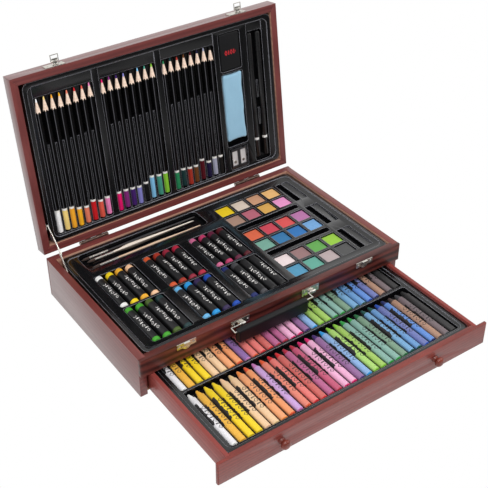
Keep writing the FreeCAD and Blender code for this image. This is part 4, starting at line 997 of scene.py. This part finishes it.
def drawingMaterial(length):
    material, tree, shader = newMaterial("drawingLacquer", Coat_Weight=0.5, Coat_Roughness=0.1)
    first, last = [share / mm for share in drawing["band"]]
    band = between(tree, alongStick(tree, length), first, last)
    finishStick(tree, shader, mixColour(tree, band, linear("0e0e10"), linear("f0efec")), 0.22, 0.1)
    return material


def makeDrawingPencils():
    low, high = shutBox("drawing_pencils")
    radius, length, pitch = rowSpan(low, high, drawing["sticks"])
    end = drawing["end"]
    base = turned([(0, radius * 0.35), (0.0008, radius * 0.8), (end, radius), (length - 0.001, radius),
                   (length - 0.0003, radius * 0.92), (length, radius * 0.75)])
    mesh = layRow(base, drawing["sticks"], (pitch, 0, 0), drawingMaterial(length), seed=5,
                  **drawing["loose"])
    mesh.transform(lidTurn @ Matrix.Translation((low.x + radius, low.y, low.z + radius)))
    standFor("drawing_pencils", mesh)


makeDrawingPencils()


# eraser, sponge and sharpener in the lid
eraser = {"rounding": 0.0012, "mark": (0.0175, 0.0068), "markPlace": (0.5, 0.52), "pitch": 4.2, "line": 0.3}


def makeEraser():
    low, high = shutBox("eraser")
    material, tree, shader = newMaterial("eraserMarked", Specular_IOR_Level=0.25)
    uv = uvParts(tree)
    along, across = [mathNode(tree, "MULTIPLY", mathNode(tree, "SUBTRACT", uv[i], eraser["markPlace"][i]),
                              (high[i] - low[i]) / mm) for i in (0, 1)]
    wide, tall = [size / mm / 2 for size in eraser["mark"]]
    mark = chainMask(tree, along, across, -wide, wide, eraser["pitch"], tall, eraser["line"])
    finishStick(tree, shader, mixColour(tree, mark, linear("161618"), linear("c3202a")), 0.5, 0.2)
    mesh = edgedCopy("eraser", eraser["rounding"], 3)
    layer = mesh.uv_layers.new(name="UVMap")
    for loop in mesh.loops:
        spot = shutTurn @ mesh.vertices[loop.vertex_index].co
        layer.data[loop.index].uv = ((spot.x - low.x) / (high.x - low.x), (spot.y - low.y) / (high.y - low.y))
    standFor("eraser", mesh, material, "eraserBlock")


# a pace says how fast a wave runs along the pad, per metre
sponge = {"cuts": (14, 44, 6), "round": 0.0030, "wander": 0.0026, "wander pace": 38, "lean": 0.0020,
          "lean pace": 48, "dip": 0.0018, "pinch": 0.05, "pinch pace": 70, "ripple": 0.0004,
          "ripple pace": 90, "edge drop": 0.0006, "pores": 900.0, "drift": 60.0}


# a soft foam pad: rounded, with its long sides and its face gently wavy
def makeSponge():
    low, high = shutBox("sponge")
    middle, half = (low + high) / 2, (high - low) / 2
    build = bmesh.new()
    bmesh.ops.create_cube(build, size=2.0)
    for axis, cuts in enumerate(sponge["cuts"]):
        edges = [e for e in build.edges
                 if [abs(step) > 1e-5 for step in e.verts[0].co - e.verts[1].co]
                 == [other == axis for other in range(3)]]
        bmesh.ops.subdivide_edges(build, edges=edges, cuts=cuts, use_grid_fill=True)
    soft = sponge["round"]
    for vertex in build.verts:
        spot = Vector([vertex.co[i] * half[i] for i in range(3)])
        inner = Vector([max(-half[i] + soft, min(half[i] - soft, spot[i])) for i in range(3)])
        away = spot - inner
        if away.length > soft:
            spot = inner + away.normalized() * soft
        sway = noise.noise(Vector((0.3, spot.y * sponge["wander pace"], 1.7))) * sponge["wander"]
        sway += math.sin(spot.y * sponge["lean pace"]) * sponge["lean"] * 0.5
        edge = abs(spot.x) / half.x
        spot.x += sway * 0.8 - sponge["lean"] * spot.y / half.y * 0.4
        spot.x *= 1 - sponge["pinch"] * noise.noise(Vector((spot.y * sponge["pinch pace"], 4.2, 0.0)))
        spot.y -= spot.y / half.y * sponge["dip"] * (1 - (spot.x / half.x) ** 2)
        ripple = sponge["ripple"] * noise.noise(spot * sponge["ripple pace"])
        spot.z += ripple - sponge["edge drop"] * edge ** 4 * (1 if spot.z < 0 else 0)
        vertex.co = middle + spot
    for face in build.faces:
        face.smooth = True
    mesh = bpy.data.meshes.new("spongePad")
    build.to_mesh(mesh)
    build.free()
    mesh.transform(lidTurn)
    material, tree, shader = newMaterial("spongeFoam", Roughness=0.95, Sheen_Weight=0.3)
    cells = put(tree, "ShaderNodeTexVoronoi", {"Vector": objectPlace(tree),
                                               "Scale": sponge["pores"]}).outputs[0]
    drift = put(tree, "ShaderNodeTexNoise", {"Vector": objectPlace(tree),
                                             "Scale": sponge["drift"]}).outputs[0]
    shade = mathNode(tree, "MULTIPLY_ADD", ranged(tree, cells, 0.1, 0.6), 0.12,
                     mathNode(tree, "MULTIPLY", drift, 0.2))
    tree.links.new(mixColour(tree, shade, linear("92bbd2"), linear("6d9bb6")), shader.inputs["Base Color"])
    bumpInto(tree, shader, cells, 0.5, 0.0004)
    piece = standFor("sponge", mesh, material, "spongePad")


makeEraser()
makeSponge()
sharpenerRounding = 0.0004
dressNode("sharpener", castMetal, sharpenerRounding, name="sharpenerBody")
print("lid contents made")


# brushes
# taper, crimps and hairs: a share of the length, and a share of the width there
brush = {"segments": 20, "bellies": (0.41, 0.19, 0.4), "end": 0.0011, "hair tip": 0.0003,
         "shades": ("f0d6bf", "fffaf4", "26262c"),
         "taper": ((0.15, 0.1), (0.35, 0.4), (0.6, 0.7), (0.97, 0.98)),
         "crimps": ((0.0, 0.84), (0.03, 0.87), (0.45, 0.93), (0.6, 0.97), (0.63, 0.9), (0.66, 0.98),
                    (0.8, 1.0), (0.83, 0.93), (0.86, 1.0), (1.0, 1.0)),
         "hairs": ((0.12, 0.3), (0.35, 0.62), (0.7, 0.82), (1.0, 0.8))}


def brushMaterials():
    wooden, tree, shader = newMaterial("brushWood", Coat_Weight=0.9, Coat_Roughness=0.08)
    grain = useGroup(tree, grainGroup, {"Vector": objectPlace(tree, (30, 300, 300)), "Figure": 0.5,
                                        "Light": linear("fbf6ef"), "Dark": linear("d3bda6"), "Pores": 0.15})
    tint = mixColour(tree, 1.0, grain["Color"], attributeColour(tree, "pieceColour"), "MULTIPLY")
    # painted shade: away from a strip along its top, each handle is mixed towards dark brown (2a1c14) on its
    # sides and underside
    fromTop = mathNode(tree, "ABSOLUTE", mathNode(tree, "SUBTRACT", uvParts(tree)[0], 0.5))
    flank = ranged(tree, fromTop, 0.1, 0.19, 0, 0.9)
    finishStick(tree, shader, mixColour(tree, flank, tint, linear("2a1c14")), 0.3, 0.1)
    hair, tree, shader = newMaterial("brushHair", Roughness=0.6, Sheen_Weight=0.3)
    strands = put(tree, "ShaderNodeTexNoise", {"Vector": objectPlace(tree, (60, 2500, 2500)),
                                               "Scale": 1.0, "Detail": 3.0}).outputs[0]
    tree.links.new(mixColour(tree, strands, linear("4a2c1c"), linear("140b08")), shader.inputs["Base Color"])
    bumpInto(tree, shader, strands, 0.6, 0.0003)
    return wooden, hair


def makeBrushes():
    wooden, hair = brushMaterials()
    finishes = {"brush_handles": ("brush_wood", wooden), "brush_ferrules": ("ferrule_metal", brightSteel),
                "brush_bristles": ("bristle", hair)}
    built = {nodeName: [] for nodeName in finishes}
    parts = [sorted(partBoxes(nodeName), key=lambda pair: pair[0].y) for nodeName in finishes]
    for handle, ferrule, tuft, bellyAt, shade in zip(*parts, brush["bellies"], brush["shades"]):
        middle = (handle[0] + handle[1]) / 2
        belly = (handle[1].z - handle[0].z) / 2
        metal = (ferrule[1].z - ferrule[0].z) / 2
        length = handle[1].x - handle[0].x
        shape = [(0.0, metal * 0.88), (0.4 * bellyAt, metal * 0.94), (0.75 * bellyAt, belly * 0.9),
                 (bellyAt, belly)]
        rest = 1 - bellyAt
        shape += [(bellyAt + share * rest, belly + (brush["end"] - belly) * fall)
                  for share, fall in brush["taper"]] + [(1.0, 0.5 * brush["end"])]
        stick = turned([(share * length, radius) for share, radius in shape], brush["segments"])
        for item in stick.color_attributes.new("pieceColour", "FLOAT_COLOR", "POINT").data:
            item.color = linear(shade)
        span = ferrule[1].x - ferrule[0].x
        crimps = [(share * span, metal * size) for share, size in brush["crimps"]]
        reach = tuft[1].x - tuft[0].x
        hairs = [(0.0, brush["hair tip"])] + [(share * reach, metal * size) for share, size in brush["hairs"]]
        for nodeName, mesh, start in (
                ("brush_handles", stick, handle[0].x),
                ("brush_ferrules", turned(crimps, brush["segments"]), ferrule[0].x),
                ("brush_bristles", turned(hairs, brush["segments"]), tuft[0].x)):
            mesh.transform(Matrix.Translation((start, middle.y, middle.z))
                           @ Matrix.Rotation(math.radians(-90), 4, "Z"))
            built[nodeName].append(mesh)
    for nodeName, (slotName, material) in finishes.items():
        standFor(nodeName, joined(built[nodeName]), material)


makeBrushes()
print("brushes made")


# knobs
# along the knob from its front, and the share of its radius there
knob = {"profile": [(0.0, 0.35), (0.0003, 0.62), (0.0012, 0.84), (0.0024, 0.97), (0.0036, 1.0),
                    (0.0048, 0.96), (0.0060, 0.76), (0.0070, 0.58), (0.0078, 0.56), (0.0090, 0.62),
                    (0.0104, 0.71)],
        "foot": 0.0105, "tenon": 0.003, "segments": 40}


def makeKnobs():
    meshes = []
    for low, high in partBoxes("drawer_knobs"):
        radius = (high.x - low.x) / 2
        middle = (low + high) / 2
        profile = [(along, radius * share) for along, share in knob["profile"]]
        profile += [(knob["foot"], knob["tenon"]), (high.y - low.y, knob["tenon"])]
        mesh = turned(profile, knob["segments"])
        mesh.transform(Matrix.Translation((middle.x, low.y, middle.z)))
        meshes.append(mesh)
    standFor("drawer_knobs", joined(meshes), wood["knob"])


makeKnobs()


# handle
gripRounding = 0.0006
dressNode("handle_grip", gripLeather, gripRounding)

# metal fittings
fittingRounding = 0.00015
fittings = ("catch_left", "catch_right", "latch_left_plate", "latch_right_plate", "latch_left_lever",
            "latch_right_lever", "latch_left_loop", "latch_right_loop", "hinge_case_leaves",
            "hinge_lid_leaves", "stay_case_bracket", "stay_lid_bracket", "stay_lower_link",
            "stay_upper_link", "handle_mounts")
for nodeName in fittings:
    metal = hingeMetal if nodeName.startswith("hinge_") else brightSteel
    dressNode(nodeName, metal, fittingRounding)

# small metal pieces keep their CAD shape
for nodeName in ("handle_wires", "hinge_pins", "case_screws", "lid_screws", "sharpener_blades",
                 "sharpener_screws"):
    nodes[nodeName].data.materials.clear()
    nodes[nodeName].data.materials.append(bladeSteel if nodeName == "sharpener_blades" else brightSteel)
print("fittings made")


# floor, backdrop and light
# what glossy surfaces mirror gets darker towards the front, and on the floor towards the right
stage = {"half": 6, "drop": 0.0002, "floorDepth": (-0.75, -0.3, 0.35, 1.0), "floorSide": (0.0, 0.5, 1.0, 0.2),
         "worldDepth": (-0.7, 0.4, 0.15, 1.0), "worldLight": 0.55,
         "lampTarget": (0, 0, 0.05)}
lamps = {"keyLight": {"place": (-0.6, -0.9, 1.9), "size": (1.2, 1.2), "power": 26},
         "fillLight": {"place": (1.4, -0.8, 1.2), "size": (1.4, 1.0), "power": 9}}


def makeFloor():
    mesh = bpy.data.meshes.new("floor")
    half = stage["half"]
    mesh.from_pydata([(-half, -half, 0), (half, -half, 0), (half, half, 0), (-half, half, 0)], [],
                     [(0, 1, 2, 3)])
    floor = linked("floor", mesh)
    floor.location.z = -stage["drop"]
    material, tree, shader = newMaterial("floorPaper", Base_Color=linear("f4f3f2"), Roughness=0.9)
    path = put(tree, "ShaderNodeLightPath").outputs
    place = put(tree, "ShaderNodeSeparateXYZ", {0: put(tree, "ShaderNodeNewGeometry").outputs[0]})
    mirrored = mathNode(tree, "MULTIPLY", ranged(tree, place.outputs[1], *stage["floorDepth"]),
                        ranged(tree, place.outputs[0], *stage["floorSide"]))
    sheen = put(tree, "ShaderNodeEmission", {"Color": (1, 1, 1, 1), "Strength": mirrored})
    paper = put(tree, "ShaderNodeEmission", {"Color": (1, 1, 1, 1), "Strength": 1.0})
    lit = put(tree, "ShaderNodeMixShader", {0: path["Is Glossy Ray"], 1: shader.outputs[0],
                                            2: sheen.outputs[0]})
    mixed = put(tree, "ShaderNodeMixShader", {0: path["Is Camera Ray"], 1: lit.outputs[0],
                                              2: paper.outputs[0]})
    tree.links.new(mixed.outputs[0], tree.nodes["Material Output"].inputs["Surface"])
    mesh.materials.append(material)


def makeLight(name, place, size, power):
    data = bpy.data.lights.new(name, "AREA")
    data.shape = "RECTANGLE"
    data.size, data.size_y = size
    data.energy = power
    light = linked(name, data)
    light.location = place
    light.rotation_euler = (Vector(stage["lampTarget"]) - Vector(place)).to_track_quat("-Z", "Y").to_euler()


def makeWorld():
    world = bpy.data.worlds.new("studio")
    bpy.context.scene.world = world
    world.use_nodes = True
    tree = world.node_tree
    path = put(tree, "ShaderNodeLightPath").outputs
    seen = mathNode(tree, "MAXIMUM", path["Is Camera Ray"], path["Is Transmission Ray"])
    towards = put(tree, "ShaderNodeSeparateXYZ", {0: put(tree, "ShaderNodeTexCoord").outputs["Generated"]})
    mirrored = ranged(tree, towards.outputs[1], *stage["worldDepth"])
    soft = ranged(tree, path["Is Glossy Ray"], 0.0, 1.0, stage["worldLight"], mirrored)
    strength = ranged(tree, seen, 0.0, 1.0, soft, 1.0)
    background = tree.nodes["Background"]
    background.inputs["Color"].default_value = (1, 1, 1, 1)
    tree.links.new(strength, background.inputs["Strength"])


makeFloor()
makeWorld()
for name, lamp in lamps.items():
    makeLight(name, **lamp)
bpy.context.scene.view_settings.view_transform = "Standard"
print("stage lit")
